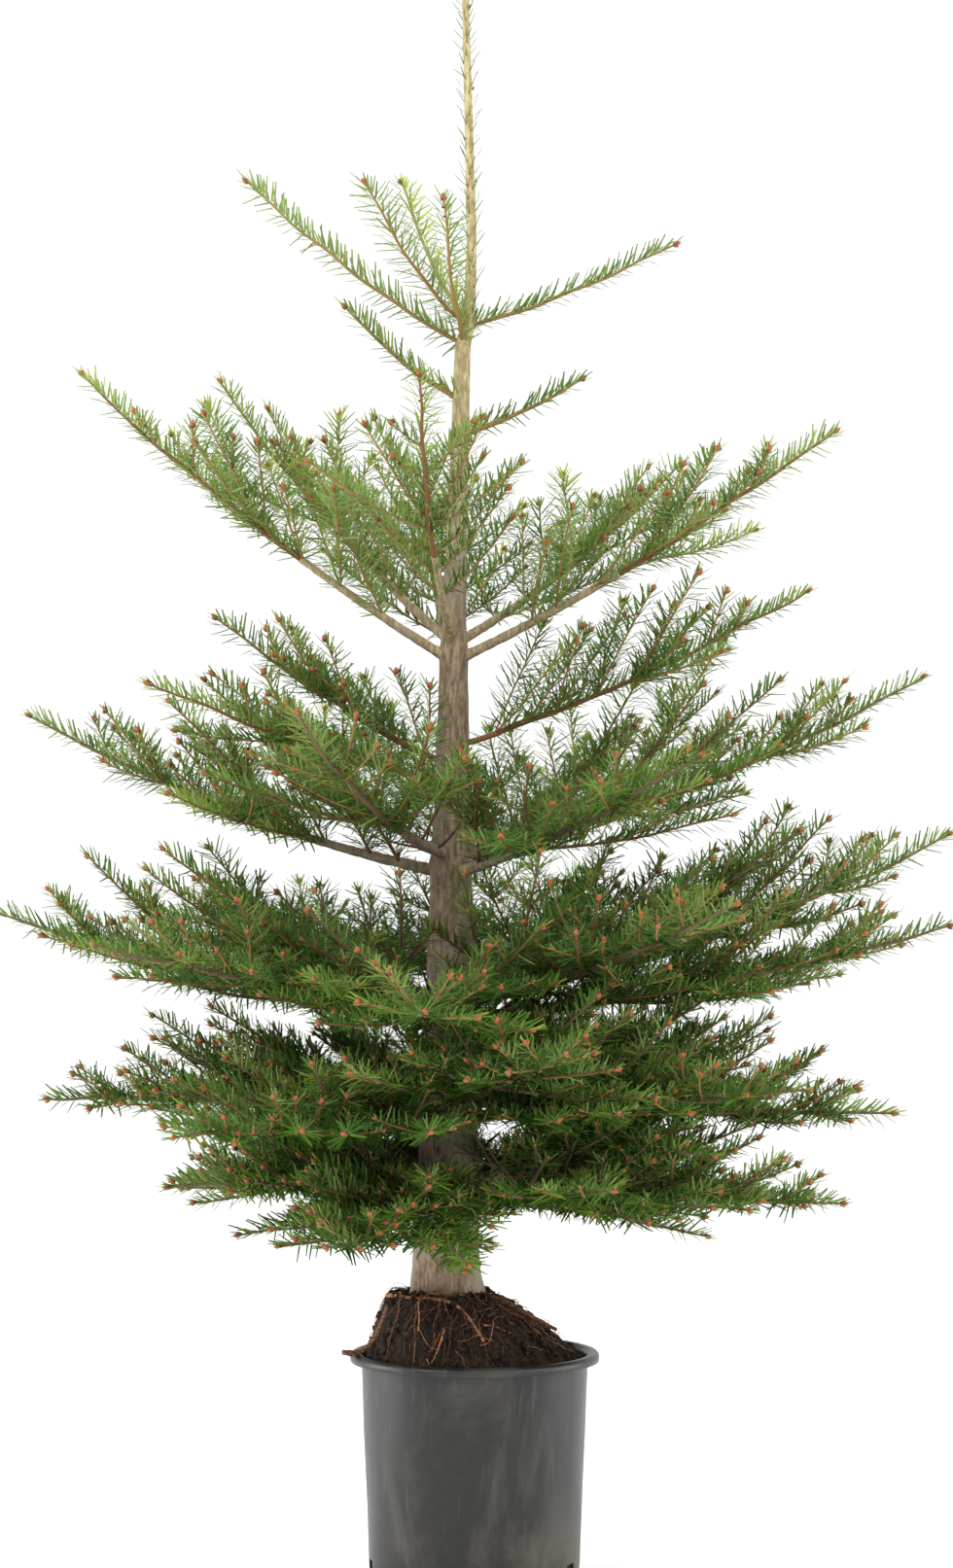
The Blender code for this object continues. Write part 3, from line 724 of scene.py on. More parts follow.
def side_shoots(name, bough, years):
    """The side shoots of a bough, in the order and with the draws of the solids' own rule."""
    rng = random.Random("foliage_" + name)
    made = []
    for year in range(1, years):
        for pair in (0, 1):
            for turn in (1, -1):
                angle = SIDE_ANGLES[pair] + rng.uniform(-ANGLE_SPREAD, ANGLE_SPREAD)
                pitch = SIDE_PITCHES[pair] + rng.uniform(-PITCH_SPREAD, PITCH_SPREAD)
                length = SIDE_LENGTHS[pair] * (1 - year / years) * bough.length
                length *= 1 + rng.uniform(-LENGTH_SPREAD, LENGTH_SPREAD)
                made.append(Side(year, year / years + SIDE_STEP * pair, turn, radians(angle), pitch, length))
    return made


def inner_shoots(name, bough, years):
    """Lesser shoots of a bough, which leave it between its years' ends, most of them rising."""
    rng = random.Random(name + "-inner")
    made = []
    places = max(years * INNER_PLACES, LEAST_PLACES)
    for place in range(1, places):
        share = (place + rng.uniform(-PLACE_SPREAD, PLACE_SPREAD)) / places
        for turn in (1, -1):
            angle = radians(rng.uniform(*INNER_ANGLES))
            pitch = rng.uniform(*INNER_PITCHES)
            length = min(rng.uniform(*INNER_SHARES) * (1 - share) * bough.length, INNER_LENGTH)
            made.append(Side(int(share * years) + 1, share, turn, angle, pitch, length))
    return made


def twig_shoots(name, shoot, years):
    """The finer twigs of a side shoot: a pair at each year's end, and now and then a rising one."""
    rng = random.Random(name + "-twigs")
    made = []
    for year in range(1, years):
        for turn in (1, -1, 0):
            angle = rng.uniform(*TWIG_ANGLES)
            pitch = rng.uniform(*TWIG_PITCHES)
            length = TWIG_LENGTH * (1 - year / years) * shoot.length * rng.uniform(*TWIG_LENGTHS)
            if turn == 0:
                if rng.random() > RISING_CHANCE:
                    continue
                angle = RISING_ANGLE
                pitch = RISING_PITCH
                length *= RISING_LENGTH
            share = year / years + rng.uniform(-TWIG_STEP, TWIG_STEP)
            made.append(Side(year, share, turn, radians(angle), pitch, length))
    return made


def branch(growth, found):
    """Adds this growth to those found, then all that grows on it."""
    found.append(growth)
    if growth.order == FINEST_ORDER or growth.dead:
        return
    rule = twig_shoots if growth.order else side_shoots
    sides = rule(growth.name, growth.line, growth.years)
    if growth.order == 0 and growth.years > 1:
        sides += inner_shoots(growth.name, growth.line, growth.years)
    for number, side in enumerate(sides):
        if side.share < growth.bare * CLEAR_LIMB or side.length < SHORTEST_TWIG:
            continue
        years = max(1, growth.years - side.year)
        dead = growth.order == 0 and side.share < DEAD_SHARE
        line = Shoot(growth.line, side, side.length * (DEAD_LENGTH if dead else 1))
        radius = NEW_RADIUS + YEAR_RADIUS * (years - 1)
        branch(Growth(f"{growth.name}.{number}", line, years, radius, 0, growth.order + 1, dead), found)


def all_boughs():
    """Every bough of the tree by its name, with the lines of the solids."""
    made = {}
    for tier_name, tier in TIERS.items():
        for number, (azimuth, reach, tip, bare) in enumerate(tier.boughs, 1):
            name = f"{tier_name}_{number}"
            height = tier.height + (STAGGER if number % 2 else -STAGGER)
            line = Bough(name, height, azimuth, reach, tip, tier.lift)
            made[name] = Growth(name, line, tier.years, tier.radius, bare, 0, False)
    for number, (height, azimuth, reach, tip, years) in enumerate(BETWEEN, 1):
        name = f"between_{number}"
        line = Bough(name, height, azimuth, reach, tip, BETWEEN_LIFT)
        made[name] = Growth(name, line, years, BETWEEN_RADIUS, 0, 0, False)
    return made


def unit(vectors):
    return vectors / np.maximum(np.linalg.norm(vectors, axis=1, keepdims=True), 1e-9)


def smooth_step(value, low, high):
    share = np.clip((value - low) / (high - low), 0, 1)
    return share * share * (3 - 2 * share)


def route_of(growth):
    """Points along the growth, with the small wanderings of real wood, and each point's share of it."""
    line = growth.line
    shares = np.linspace(growth.bare, 1, max(5, round(line.length / TWIG_RING)) + 1)
    points = np.array([line.point(share) for share in shares])
    rng = random.Random(growth.name + "-wander")
    start = Vector((rng.uniform(0, 50), rng.uniform(0, 50), rng.uniform(0, 50)))
    reach = min(WANDER, line.length * WANDER_SHARE)
    for row, share in enumerate(shares):
        fade = min(1, (share - growth.bare) * WANDER_START)
        spot = start + Vector((share * line.length * WANDER_WAVES, 0, 0))
        points[row] += np.array(noise.noise_vector(spot)) * reach * fade
    return points, shares


def radii_of(growth, shares):
    foot = growth.radius * (LIMB_TAPER if growth.bare else 1)
    to_tip = 1 - (shares - growth.bare) / (1 - growth.bare)
    return TIP_RADIUS + (foot - TIP_RADIUS) * to_tip ** TWIG_TAPER


def frames_along(points):
    """The heading, sideways and upward directions at each point."""
    ahead = unit(np.gradient(points, axis=0))
    across = np.cross(ahead, UP)
    upright = np.linalg.norm(across, axis=1, keepdims=True) < 0.05
    across = unit(np.where(upright, (1.0, 0.0, 0.0), across))
    return ahead, across, np.cross(across, ahead)


def past_end(points):
    """Where a tube along these points comes to its blunt point."""
    return points[-1] + (points[-1] - points[-2]) * BLUNT_TIP


def tube(points, radii, sides, relief=None):
    """A thin tube's points and triangles, closed at both ends. relief gives its radius as a share."""
    _, across, over = frames_along(points)
    turns = np.linspace(0, 2 * pi, sides, endpoint=False)
    out = across[:, None] * np.cos(turns)[None, :, None] + over[:, None] * np.sin(turns)[None, :, None]
    grown = radii[:, None] * np.ones(sides)
    if relief:
        grown = grown * [[relief(point, way) for way in ring] for point, ring in zip(points, out)]
    skin = (points[:, None] + out * grown[:, :, None]).reshape(-1, 3)
    last = len(points) - 1
    side = np.arange(sides)
    after = (side + 1) % sides
    rows = np.arange(last)[:, None] * sides
    here, beside = rows + side, rows + after
    quads = ((here, here + sides, beside + sides), (here, beside + sides, beside))
    faces = [np.stack(corners, -1).reshape(-1, 3) for corners in quads]
    foot = np.stack([np.full(sides, len(skin)), side, after], -1)
    tip = np.stack([np.full(sides, len(skin) + 1), after + last * sides, side + last * sides], -1)
    return np.concatenate([skin, points[:1], [past_end(points)]]), np.concatenate([*faces, foot, tip])


def roll_up(shape, sides, rings, place):
    """Adds a closed skin: a grid rolled into a sleeve. place gives the point at a turn and a ring."""
    grid = bmesh.ops.create_grid(shape, x_segments=sides, y_segments=rings - 1, size=1)["verts"]
    for number, vertex in enumerate(grid):
        ring, side = divmod(number, sides + 1)
        vertex.co = place(2 * pi * (side % sides) / sides, ring)
    bmesh.ops.remove_doubles(shape, verts=grid, dist=SEAM)
    ends = [edge for edge in shape.edges if edge.is_boundary]
    bmesh.ops.holes_fill(shape, edges=ends, sides=0)
    bmesh.ops.recalc_face_normals(shape, faces=shape.faces)


def bark_tube(shape, points, radii, sides, relief):
    """Adds a thick tube with a relief to the bmesh. relief also gets the share of the way along."""
    _, across, over = frames_along(points)
    last = len(points) - 1

    def place(turn, ring):
        if ring > last:
            return past_end(points)
        out = across[ring] * cos(turn) + over[ring] * sin(turn)
        return points[ring] + out * radii[ring] * relief(points[ring], out, ring / last)

    roll_up(shape, sides, len(points) + 1, place)


def needles(heap, foot, ahead, direction, facing, length, width, tone, underside):
    """Adds flat blunt needles to the heap, each closed by a keel on its underside."""
    direction = unit(direction)
    facing = unit(facing - (facing * direction).sum(1, keepdims=True) * direction)
    edge = np.cross(facing, direction) * width[:, None] / 2
    along = direction * length[:, None]
    curve = ahead * length[:, None] * NEEDLE_CURVE
    shoulder = foot + along * NEEDLE_SHOULDER
    end = foot + along + curve
    points = np.stack([
        foot,
        shoulder + edge,
        shoulder - edge,
        end + edge * NEEDLE_END,
        end - edge * NEEDLE_END,
        foot + along * KEEL_PLACE + curve * KEEL_CURVE - facing * NEEDLE_KEEL,
    ], 1)
    count, corners, _ = points.shape
    triangles = NEEDLE_FACES[None] + np.arange(count)[:, None, None] * corners
    slots = np.empty((count, len(NEEDLE_FACES)), np.int32)
    slots[:, :TOP_FACES] = tone[:, None]
    slots[:, TOP_FACES:] = TONES + underside[:, None]
    heap.add(points.reshape(-1, 3), triangles.reshape(-1, 3), slots.ravel())


def daylight(growth, foot):
    """How much light gets to each needle: none at the trunk, all of it on the trunk's own new shoots."""
    if growth.years <= 1 and growth.order == 0:
        return np.ones(len(foot))
    heights, axis_x, _, _ = np.array(TRUNK).T
    away = np.hypot(foot[:, 0] - np.interp(foot[:, 2], heights, axis_x), foot[:, 1])
    return smooth_step(away, *SHADE_REACH)


def clothe(growth, points, shares, radii, heap, base_tone):
    """Adds one shoot's needles: combed up and to the sides, crowding forward at its tip, fewer in shade."""
    rng = np.random.default_rng(random.Random(growth.name + "-needles").getrandbits(32))
    along = np.concatenate([[0], np.cumsum(np.linalg.norm(np.diff(points, axis=0), axis=1))])
    total = along[-1]
    count = int(total / (NEEDLE_STEP * (1 + NEEDLE_STEP_SHADED * max(0, base_tone))))
    if count < FEWEST_NEEDLES:
        return
    at = (np.arange(count) + rng.uniform(0, NEEDLE_STEP_SPREAD, count)) * total / count

    def read_off(values):
        return np.stack([np.interp(at, along, column) for column in values.T], 1)

    foot = read_off(points)
    age = growth.years * (1 - np.interp(at, along, shares))
    light = daylight(growth, foot)
    keep = rng.uniform(size=count) < light * np.interp(age, AGES, STILL_CLOTHED)
    if not keep.any():
        return
    ahead, across, over = (unit(read_off(way)) for way in frames_along(points))
    roll = rng.uniform(-TWIG_ROLL, TWIG_ROLL)
    across, over = across * cos(roll) + over * sin(roll), over * cos(roll) - across * sin(roll)
    turn = np.arange(count) * GOLDEN_TURN + rng.normal(0, NEEDLE_TURN_SPREAD, count)
    turn = (turn + pi) % (2 * pi) - pi
    place = COMB * (np.abs(turn) / pi) ** COMB_POWER
    radial = over * np.cos(place)[:, None] + across * (np.sin(place) * np.sign(turn))[:, None]
    tip = 1 - smooth_step(total - at, *TIP_STRETCH)
    lean = np.interp(place, COMB_PLACES, NEEDLE_LEANS) * (1 - TIP_LEAN * tip)
    lean += rng.normal(0, NEEDLE_LEAN_SPREAD, count)
    strength = WEAK_NEEDLES + (1 - WEAK_NEEDLES) * min(1, growth.line.length / STRONG_SHOOT)
    length = np.interp(place, COMB_PLACES, NEEDLE_LENGTHS) * strength * (1 - TIP_SHORTER * tip)
    length *= rng.normal(1, NEEDLE_LENGTH_SPREAD, count).clip(0.7, 1.3)
    width = NEEDLE_WIDTH * rng.normal(1, NEEDLE_WIDTH_SPREAD, count).clip(0.8, 1.2)
    direction = ahead * np.cos(lean)[:, None] + radial * np.sin(lean)[:, None]
    facing = over * FACE_UP + ahead * FACE_AHEAD + rng.normal(0, NEEDLE_FACE_SPREAD, (count, 3))
    foot = foot + radial * (np.interp(at, along, radii) * 0.7)[:, None]
    # Painted shade: darker where little light gets in; tips lighter, partly painted backlight
    tone = base_tone + age * AGE_TONE - tip * TIP_TONE + (1 - light) * SHADE_TONE
    tone = np.clip(np.round(tone + rng.normal(0, TONE_SPREAD, count)), 0, TONES - 1)
    # Undersides are pale with stomatal bands, darker in the lower tiers as painted shade
    underside = base_tone * UNDERSIDE_SHARE - UNDERSIDE_PALER + rng.normal(0, UNDERSIDE_SPREAD, count)
    underside = np.clip(np.round(underside), 0, UNDERSIDES - 1)
    kept = (part[keep] for part in (foot, ahead, direction, facing, length, width, tone, underside))
    needles(heap, *kept)


def bud(heap, foot, way, length, radius, slot):
    """Adds a small pointed bud to the heap."""
    way = unit(np.asarray(way, float)[None])[0]
    side = np.cross(way, (0.3, 0.9, 0.2))
    side /= np.linalg.norm(side)
    over = np.cross(side, way)
    turns = np.linspace(0, 2 * pi, BUD_SIDES, endpoint=False)
    round_it = np.outer(np.cos(turns), side) + np.outer(np.sin(turns), over)
    rings = [foot + way * length * up + round_it * radius * wide for up, wide in BUD_RINGS]
    points = np.concatenate([*rings, [foot], [foot + way * length]])
    faces = []
    last = BUD_SIDES * (len(BUD_RINGS) - 1)
    for here in range(BUD_SIDES):
        after = (here + 1) % BUD_SIDES
        for row in range(0, last, BUD_SIDES):
            faces.append((row + here, row + BUD_SIDES + here, row + BUD_SIDES + after))
            faces.append((row + here, row + BUD_SIDES + after, row + after))
        faces.append((len(points) - 2, here, after))
        faces.append((last + here, len(points) - 1, last + after))
    heap.add(points, np.array(faces), slot)


def end_buds(growth, points, radii, heap):
    """Adds the cluster of buds at the shoot's tip, and a few small ones along its last year."""
    rng = random.Random(growth.name + "-buds")
    ahead, across, over = (way[-1] for way in frames_along(points))
    size = END_BUD if growth.order < 2 else FINE_END_BUD
    bud(heap, points[-1], ahead, size, size * 0.38, 0)
    for _ in range(rng.randint(2, 4) if growth.order < 2 else 1):
        turn = rng.uniform(0, 2 * pi)
        way = ahead * 0.8 + (across * cos(turn) + over * sin(turn)) * 0.75
        foot = points[-1] - ahead * 1.2 * MM
        bud(heap, foot, way, size * rng.uniform(0.7, 0.95), size * 0.3, rng.randint(0, 1))
    if growth.order > 1:
        return
    for _ in range(rng.randint(1, 3)):
        row = rng.randint(max(1, len(points) - 2 - len(points) // growth.years), len(points) - 2)
        turn = rng.choice((0, pi)) + rng.uniform(-0.5, 0.5)
        radial = across * cos(turn) - over * 0.4
        heading = unit(points[row + 1:row + 2] - points[row])[0]
        foot = points[row] + radial * radii[row] * 0.6
        bud(heap, foot, radial + heading * 0.7, SIDE_BUD, SIDE_BUD_RADIUS, 1)


def twig_relief(point, out):
    """Leaf cushions and knots."""
    return 1 + 0.14 * noise.noise(Vector(point * 330 + out * 3))


def limb_relief(point, out, share):
    """Wrinkled young bark with a swollen foot and a smaller swelling at its end."""
    swelling = 0.35 * max(0, 1 - share * 6) ** 2 + 0.22 * max(0, share * 8 - 7) ** 2
    return 1 + swelling + 0.13 * noise.fractal(Vector(point * 150 + out * 2.2), 0.9, 2.2, 3)


def root_relief(point, out, share):
    """Knots and wrinkles."""
    knots = 0.16 * noise.noise(Vector(point * 120))
    return 1 + knots + 0.16 * noise.noise(Vector(point * 420 + out * 1.8))


def grow_foliage(name, bough, green, wood, tips):
    """Adds one bough's needles, twigs and buds to the heaps."""
    found = []
    branch(bough, found)
    for growth in found:
        points, shares = route_of(growth)
        radii = radii_of(growth, shares)
        if radii[0] > THICK_TWIG:
            skin, faces = tube(points, radii, 8, twig_relief)
        else:
            skin, faces = tube(points, radii, 5)
        if growth.dead:
            wood.add(skin, faces, DEAD_TWIG)
            continue
        wood.add(skin, faces, min(OLD_TWIG, growth.years - 1))
        # The tier's tone: darker low in the crown, as painted shade
        tone = TIER_TONES[name.split("_")[0]]
        tone += random.Random(growth.name + "-tone").gauss(0, SHOOT_TONE_SPREAD)
        clothe(growth, points, shares, radii, green, tone + ORDER_TONE * growth.order)
        end_buds(growth, points, radii, tips)


def make_foliage(boughs, needle_paints, twig_paints, bud_paints):
    """The needles, twigs and buds of all the boughs, each kind joined, in pieces of some boughs each."""
    piece = 1
    nodes = []
    last = list(boughs)[-1]
    for name, bough in boughs.items():
        if not nodes:
            green, wood, tips = Heap(), Heap(), Heap()
        grow_foliage(name, bough, green, wood, tips)
        nodes.append("foliage_" + name)
        if green.size() > FULL_PIECE or name == last:
            hand_in(green.piece(f"needles_{piece}", needle_paints), "needles", *nodes)
            hand_in(wood.piece(f"twigs_{piece}", twig_paints, smooth=True), "bark", *nodes)
            hand_in(tips.piece(f"buds_{piece}", bud_paints, smooth=True), "bark")
            piece += 1
            nodes = []


def make_leader_needles(paints):
    """Sparse needles all round the leader, leaning up."""
    rng = np.random.default_rng(7)
    green = Heap()
    low, high = LEADER_FOOT + LEADER_CLEAR, TRUNK[-2][0]
    count = int((high - low) / LEADER_STEP)
    heights = np.linspace(low, high, count) + rng.normal(0, 0.001, count)
    z, x, y, radius = np.array([between(TRUNK, height) for height in heights]).T
    turn = np.arange(count) * GOLDEN_TURN + rng.normal(0, 0.25, count)
    radial = np.stack([np.cos(turn), np.sin(turn), np.zeros(count)], 1)
    up = np.tile(UP, (count, 1))
    lean = LEADER_LEAN + rng.normal(0, 0.16, count)
    direction = up * np.cos(lean)[:, None] + radial * np.sin(lean)[:, None]
    foot = np.stack([x, y, z], 1) + radial * radius[:, None] * 0.9
    length = rng.uniform(*LEADER_NEEDLES, count)
    tone = rng.integers(1, 4, count)
    facing = up * 0.9 - radial * 0.4 + rng.normal(0, 0.3, (count, 3))
    width = np.full(count, LEADER_NEEDLE_WIDTH)
    needles(green, foot, up, direction, facing, length, width, tone, np.ones(count))
    hand_in(green.piece("needles_leader", paints), "needles")


def make_leader_buds(paints):
    """Small buds up the leader, and the cluster at its tip."""
    rng = random.Random("leader")
    tips = Heap()
    for height in LEADER_BUDS:
        _, x, y, radius = between(TRUNK, height)
        turn = rng.uniform(0, 2 * pi)
        out = np.array((cos(turn), sin(turn), 0.0))
        bud(tips, np.array((x, y, height)) + out * radius * 0.8, out + (0, 0, 0.7), 5 * MM, 1.9 * MM, 0)
    _, x, y, _ = TRUNK[-1]
    crown = np.array((x, y, TRUNK[-2][0] - 0.001))
    bud(tips, crown, UP, 9 * MM, 2.6 * MM, 0)
    for number in range(CROWN_BUDS):
        turn = 2 * pi * number / CROWN_BUDS + 0.3
        out = np.array((cos(turn), sin(turn), 0.0))
        bud(tips, crown + out * 2.2 * MM, out * 0.8 + UP, 6.5 * MM, 2.1 * MM, number % 2)
    hand_in(tips.piece("buds_leader", paints, smooth=True), "bark")


def trunk_skin(height, turn, radius):
    """The trunk's radius here: root flare, collars at the whorls, flaking bark and leaf scars."""
    fall = max(0, 1 - (height - GROUND) / FLARE_HEIGHT) ** 2
    lobes = FLARE_EVEN + (1 - FLARE_EVEN) * cos(FLARE_LOBES * turn + FLARE_TURN)
    grown = radius + FLARE_DEPTH * fall * lobes
    for tier in TIERS.values():
        grown += radius * COLLAR * exp(-(((height - tier.height) / COLLAR_HEIGHT) ** 2))
    old = min(1, max(0, (radius - YOUNG_RADIUS) / (OLD_RADIUS - YOUNG_RADIUS)))
    x, y = radius * cos(turn), radius * sin(turn)
    (ridge_young, ridge_old), (round_it, up_it) = RIDGES, RIDGE_WAVES
    ridge = noise.fractal(Vector((x * round_it, y * round_it, height * up_it)), 0.9, 2.1, 4)
    grown += (ridge_young + (ridge_old - ridge_young) * old) * ridge
    (flake_young, flake_old), (round_it, up_it) = FLAKES, FLAKE_WAVES
    flake = noise.noise(Vector((x * round_it, y * round_it, height * up_it)))
    grown += (flake_young + (flake_old - flake_young) * old) * flake
    if height > LEADER_FOOT:
        grown += CUSHION * cos(CUSHION_ROWS * turn + CUSHION_TWIST * height)
    return grown


def make_trunk(finish):
    """The trunk from its flat cut to the leader's tip, with the relief of its bark."""
    top = TRUNK[-1][0]
    heights = np.linspace(GROUND, top, int((top - GROUND) / TRUNK_RING) + 1)

    def place(turn, ring):
        height = heights[ring]
        _, x, y, radius = between(TRUNK, height)
        grown = trunk_skin(height, turn, radius)
        return x + grown * cos(turn), y + grown * sin(turn), height

    shape = bmesh.new()
    roll_up(shape, TRUNK_SIDES, len(heights), place)
    hand_in(piece_of("trunk_bark", shape, finish), "bark", "trunk")


def make_limbs(boughs, finish):
    """The bare limbs of the second and third whorls."""
    shape = bmesh.new()
    bare = {name: growth for name, growth in boughs.items() if growth.bare}
    for growth in bare.values():
        rings = max(LEAST_RINGS, round(growth.line.length * growth.bare / LIMB_RING))
        shares = np.linspace(0, growth.bare, rings)
        points = np.array([growth.line.point(share) for share in shares])
        radii = growth.radius * (1 - (1 - LIMB_TAPER) * shares / growth.bare)
        bark_tube(shape, points, radii, LIMB_SIDES, limb_relief)
    hand_in(piece_of("limb_bark", shape, finish), "bark", *("limb_" + name for name in bare))


def pot_radius(height):
    return POT_BASE_RADIUS + (POT_TOP_RADIUS - POT_BASE_RADIUS) * height / POT_HEIGHT


def is_slot(face):
    """Whether the drain slots take this face out of the pot's wall."""
    centre = face.calc_center_median()
    pitch = 360 / SLOTS
    half = SLOT_STEPS * 180 / POT_STEPS
    past = (degrees(atan2(centre.y, centre.x)) - SLOT_AZIMUTH) % pitch
    return SLOT_BOTTOM < centre.z < SLOT_TOP and abs(face.normal.z) < 0.5 and min(past, pitch - past) < half


def make_pot(finish):
    """A thin moulded shell, turned, with its drain slots left open and a rolled rim."""
    profile = [(radius, 0) for radius in BASE_RINGS]
    profile += [(pot_radius(height), height) for height in WALL_RINGS]
    profile += [(RIM_RADIUS + out, POT_HEIGHT + up) for out, up in RIM_ROLL]
    start = radians(SLOT_AZIMUTH - SLOT_STEPS * 180 / POT_STEPS)
    shape = bmesh.new()
    verts = [
        shape.verts.new((radius * cos(start), radius * sin(start), height))
        for radius, height in profile
    ]
    edges = [shape.edges.new(pair) for pair in zip(verts, verts[1:])]
    bmesh.ops.spin(
        shape, geom=verts + edges, cent=(0, 0, 0), axis=UP, angle=2 * pi, steps=POT_STEPS, use_merge=True
    )
    bmesh.ops.remove_doubles(shape, verts=shape.verts, dist=SEAM)
    shape.normal_update()
    bmesh.ops.recalc_face_normals(shape, faces=shape.faces)
    # The spin's faces come in any order, and the rim's lip faces the other way than the wall
    wall = next(face for face in shape.faces if SLOT_TOP < face.calc_center_median().z < WALL_RINGS[-1])
    if wall.normal.xy.dot(wall.calc_center_median().xy) < 0:
        bmesh.ops.reverse_faces(shape, faces=shape.faces)
    bmesh.ops.delete(shape, geom=[face for face in shape.faces if is_slot(face)], context="FACES")
    for vertex in shape.verts:
        out = Vector((vertex.co.x, vertex.co.y, 0))
        if out.length > BASE_RINGS[2]:
            dent = sum(noise.noise(vertex.co * waves) * depth for waves, depth in DENTS)
            vertex.co += out.normalized() * dent
    pot = piece_of("pot_shell", shape, finish)
    pot.data.set_sharp_from_angle(angle=radians(40))
    thick = pot.modifiers.new("wall", "SOLIDIFY")
    thick.thickness = SHELL
    thick.offset = -1
    edge = pot.modifiers.new("edge", "BEVEL")
    edge.width = SHELL_EDGE
    edge.segments = 2
    edge.limit_method = "ANGLE"
    edge.angle_limit = radians(50)
    hand_in(pot, "pot", "pot")


def soil_height(x, y):
    """The mound's own surface, as in the solids."""
    point = Vector((x, y, 0)) - SOIL_MIDDLE
    away = point.length
    if away < SEAM:
        return SOIL_CREST
    out = point / away
    inner = pot_radius(SOIL_EDGE) - POT_WALL
    along = SOIL_MIDDLE.dot(out)
    wall = (along * along + inner * inner - SOIL_MIDDLE.length_squared) ** 0.5 - along
    share = min(1, away / wall)
    plateau = SOIL_PLATEAU - SOIL_SHIFT * out.x
    slope = max(0, share - plateau) / (1 - plateau)
    return SOIL_CREST - (SOIL_CREST - SOIL_EDGE) * slope ** SOIL_FALL - SOIL_SAG * share


def make_soil(finish):
    """The root ball with its rough mound."""
    inner = (pot_radius(SOIL_EDGE) - POT_WALL) * SOIL_FIT

    def side(turn, radius, height):
        grown = radius * (1 - 0.003 * abs(noise.noise(Vector((cos(turn) * 9, sin(turn) * 9, height * 60)))))
        return grown * cos(turn), grown * sin(turn), height

    def mound(turn, share):
        x = SOIL_MIDDLE.x + (inner * cos(turn) - SOIL_MIDDLE.x) * share
        y = inner * sin(turn) * share
        spot = Vector((x, y, 0))
        rough = noise.fractal(spot * 60, 0.8, 2.1, 5) * SOIL_LUMPS + abs(noise.noise(spot * 190)) * SOIL_GRIT
        fade = min(1, (1 - share) * 14)
        return x, y, soil_height(x, y) + rough * (0.25 + 0.75 * fade)

    def place(turn, ring):
        if ring < len(SOIL_SIDE):
            return side(turn, *SOIL_SIDE[ring])
        return mound(turn, SOIL_SHARES[ring - len(SOIL_SIDE)])

    shape = bmesh.new()
    roll_up(shape, SOIL_SIDES, len(SOIL_SIDE) + len(SOIL_SHARES), place)
    hand_in(piece_of("soil_mound", shape, finish), "soil", "soil")


def make_crumbs(finish):
    """Loose crumbs all over the mound, each a ball that is squashed, turned and knocked about."""
    rng = random.Random("crumbs")
    inner = pot_radius(SOIL_EDGE) - POT_WALL
    ball = bmesh.new()
    bmesh.ops.create_icosphere(ball, subdivisions=1, radius=1)
    points = np.array([vertex.co for vertex in ball.verts])
    faces = np.array([[vertex.index for vertex in face.verts] for face in ball.faces])
    ball.free()
    heap = Heap()
    for _ in range(CRUMBS):
        turn = rng.uniform(0, 2 * pi)
        away = rng.uniform(0.02, 0.999) ** 0.6 * inner * 0.985
        x, y = away * cos(turn), away * sin(turn)
        size = min(CRUMB_MOST, CRUMB_LEAST + rng.expovariate(1 / CRUMB_MORE))
        if away + size > inner * 0.99:
            continue
        angle = rng.uniform(0, 6)
        axis = Vector((rng.random(), rng.random(), 0.1)).normalized()
        squash = np.array([rng.uniform(0.6, 1.25) for _ in range(3)])
        crumb = points * squash @ np.array(Matrix.Rotation(angle, 3, axis)).T
        crumb *= np.array([[rng.uniform(0.8, 1.2)] for _ in points]) * size
        heap.add(crumb + (x, y, soil_height(x, y) + size * 0.4), faces, 0)
    hand_in(heap.piece("soil_crumbs", [finish]), "soil")


def root_route(steps):
    route = []
    for azimuth, away, over in steps:
        x = SOIL_MIDDLE.x + away * cos(radians(azimuth))
        y = SOIL_MIDDLE.y + away * sin(radians(azimuth))
        route.append(Vector((x, y, soil_height(x, y) + over)))
    return route


def smooth_route(route, count):
    """Points on one smooth curve through all those given."""
    knots = [route[0] * 2 - route[1], *route, route[-1] * 2 - route[-2]]
    points = []
    last = len(route) - 1
    for number in range(count):
        place = number / (count - 1) * last
        here = min(int(place), last - 1)
        t = place - here
        a, b, c, d = knots[here:here + 4]
        curve = (a * 2 - b * 5 + c * 4 - d) * t ** 2 + (b * 3 - a - c * 3 + d) * t ** 3
        points.append((b * 2 + (c - a) * t + curve) / 2)
    return np.array(points)


def make_roots(brown, orange):
    """The three roots that lie bare on the mound."""
    for name, (radius, steps) in ROOTS.items():
        shape = bmesh.new()
        points = smooth_route(root_route(steps), ROOT_RINGS)
        bark_tube(shape, points, radius * np.linspace(1, ROOT_TAPER, ROOT_RINGS), ROOT_SIDES, root_relief)
        finish = orange if name == "root_loop" else brown
        hand_in(piece_of(name + "_bark", shape, finish), "roots", name)


def stray_root(rng, inner):
    """The route of a loose root that wanders out over the mound, or over the rim, where it is cut off."""
    turn = rng.uniform(0, 2 * pi)
    away = rng.uniform(0.03, 0.10)
    heading = turn + rng.uniform(-1.1, 1.1)
    x, y = away * cos(turn) + SOIL_MIDDLE.x * 0.6, away * sin(turn)
    lift = rng.uniform(LEAST_LIFT, 0.0035)
    route = []
    for _ in range(rng.randint(5, 9)):
        out = Vector((x, y, 0)).length
        if out > inner * 1.04:
            break
        height = soil_height(x, y) if out < inner else SOIL_EDGE + 0.008
        route.append(Vector((x, y, height + lift)))
        step = rng.uniform(0.005, 0.011)
        heading += rng.uniform(-0.75, 0.75)
        x += step * cos(heading)
        y += step * sin(heading)
        lift = max(LEAST_LIFT, lift + rng.uniform(-0.003, 0.0042))
    return route


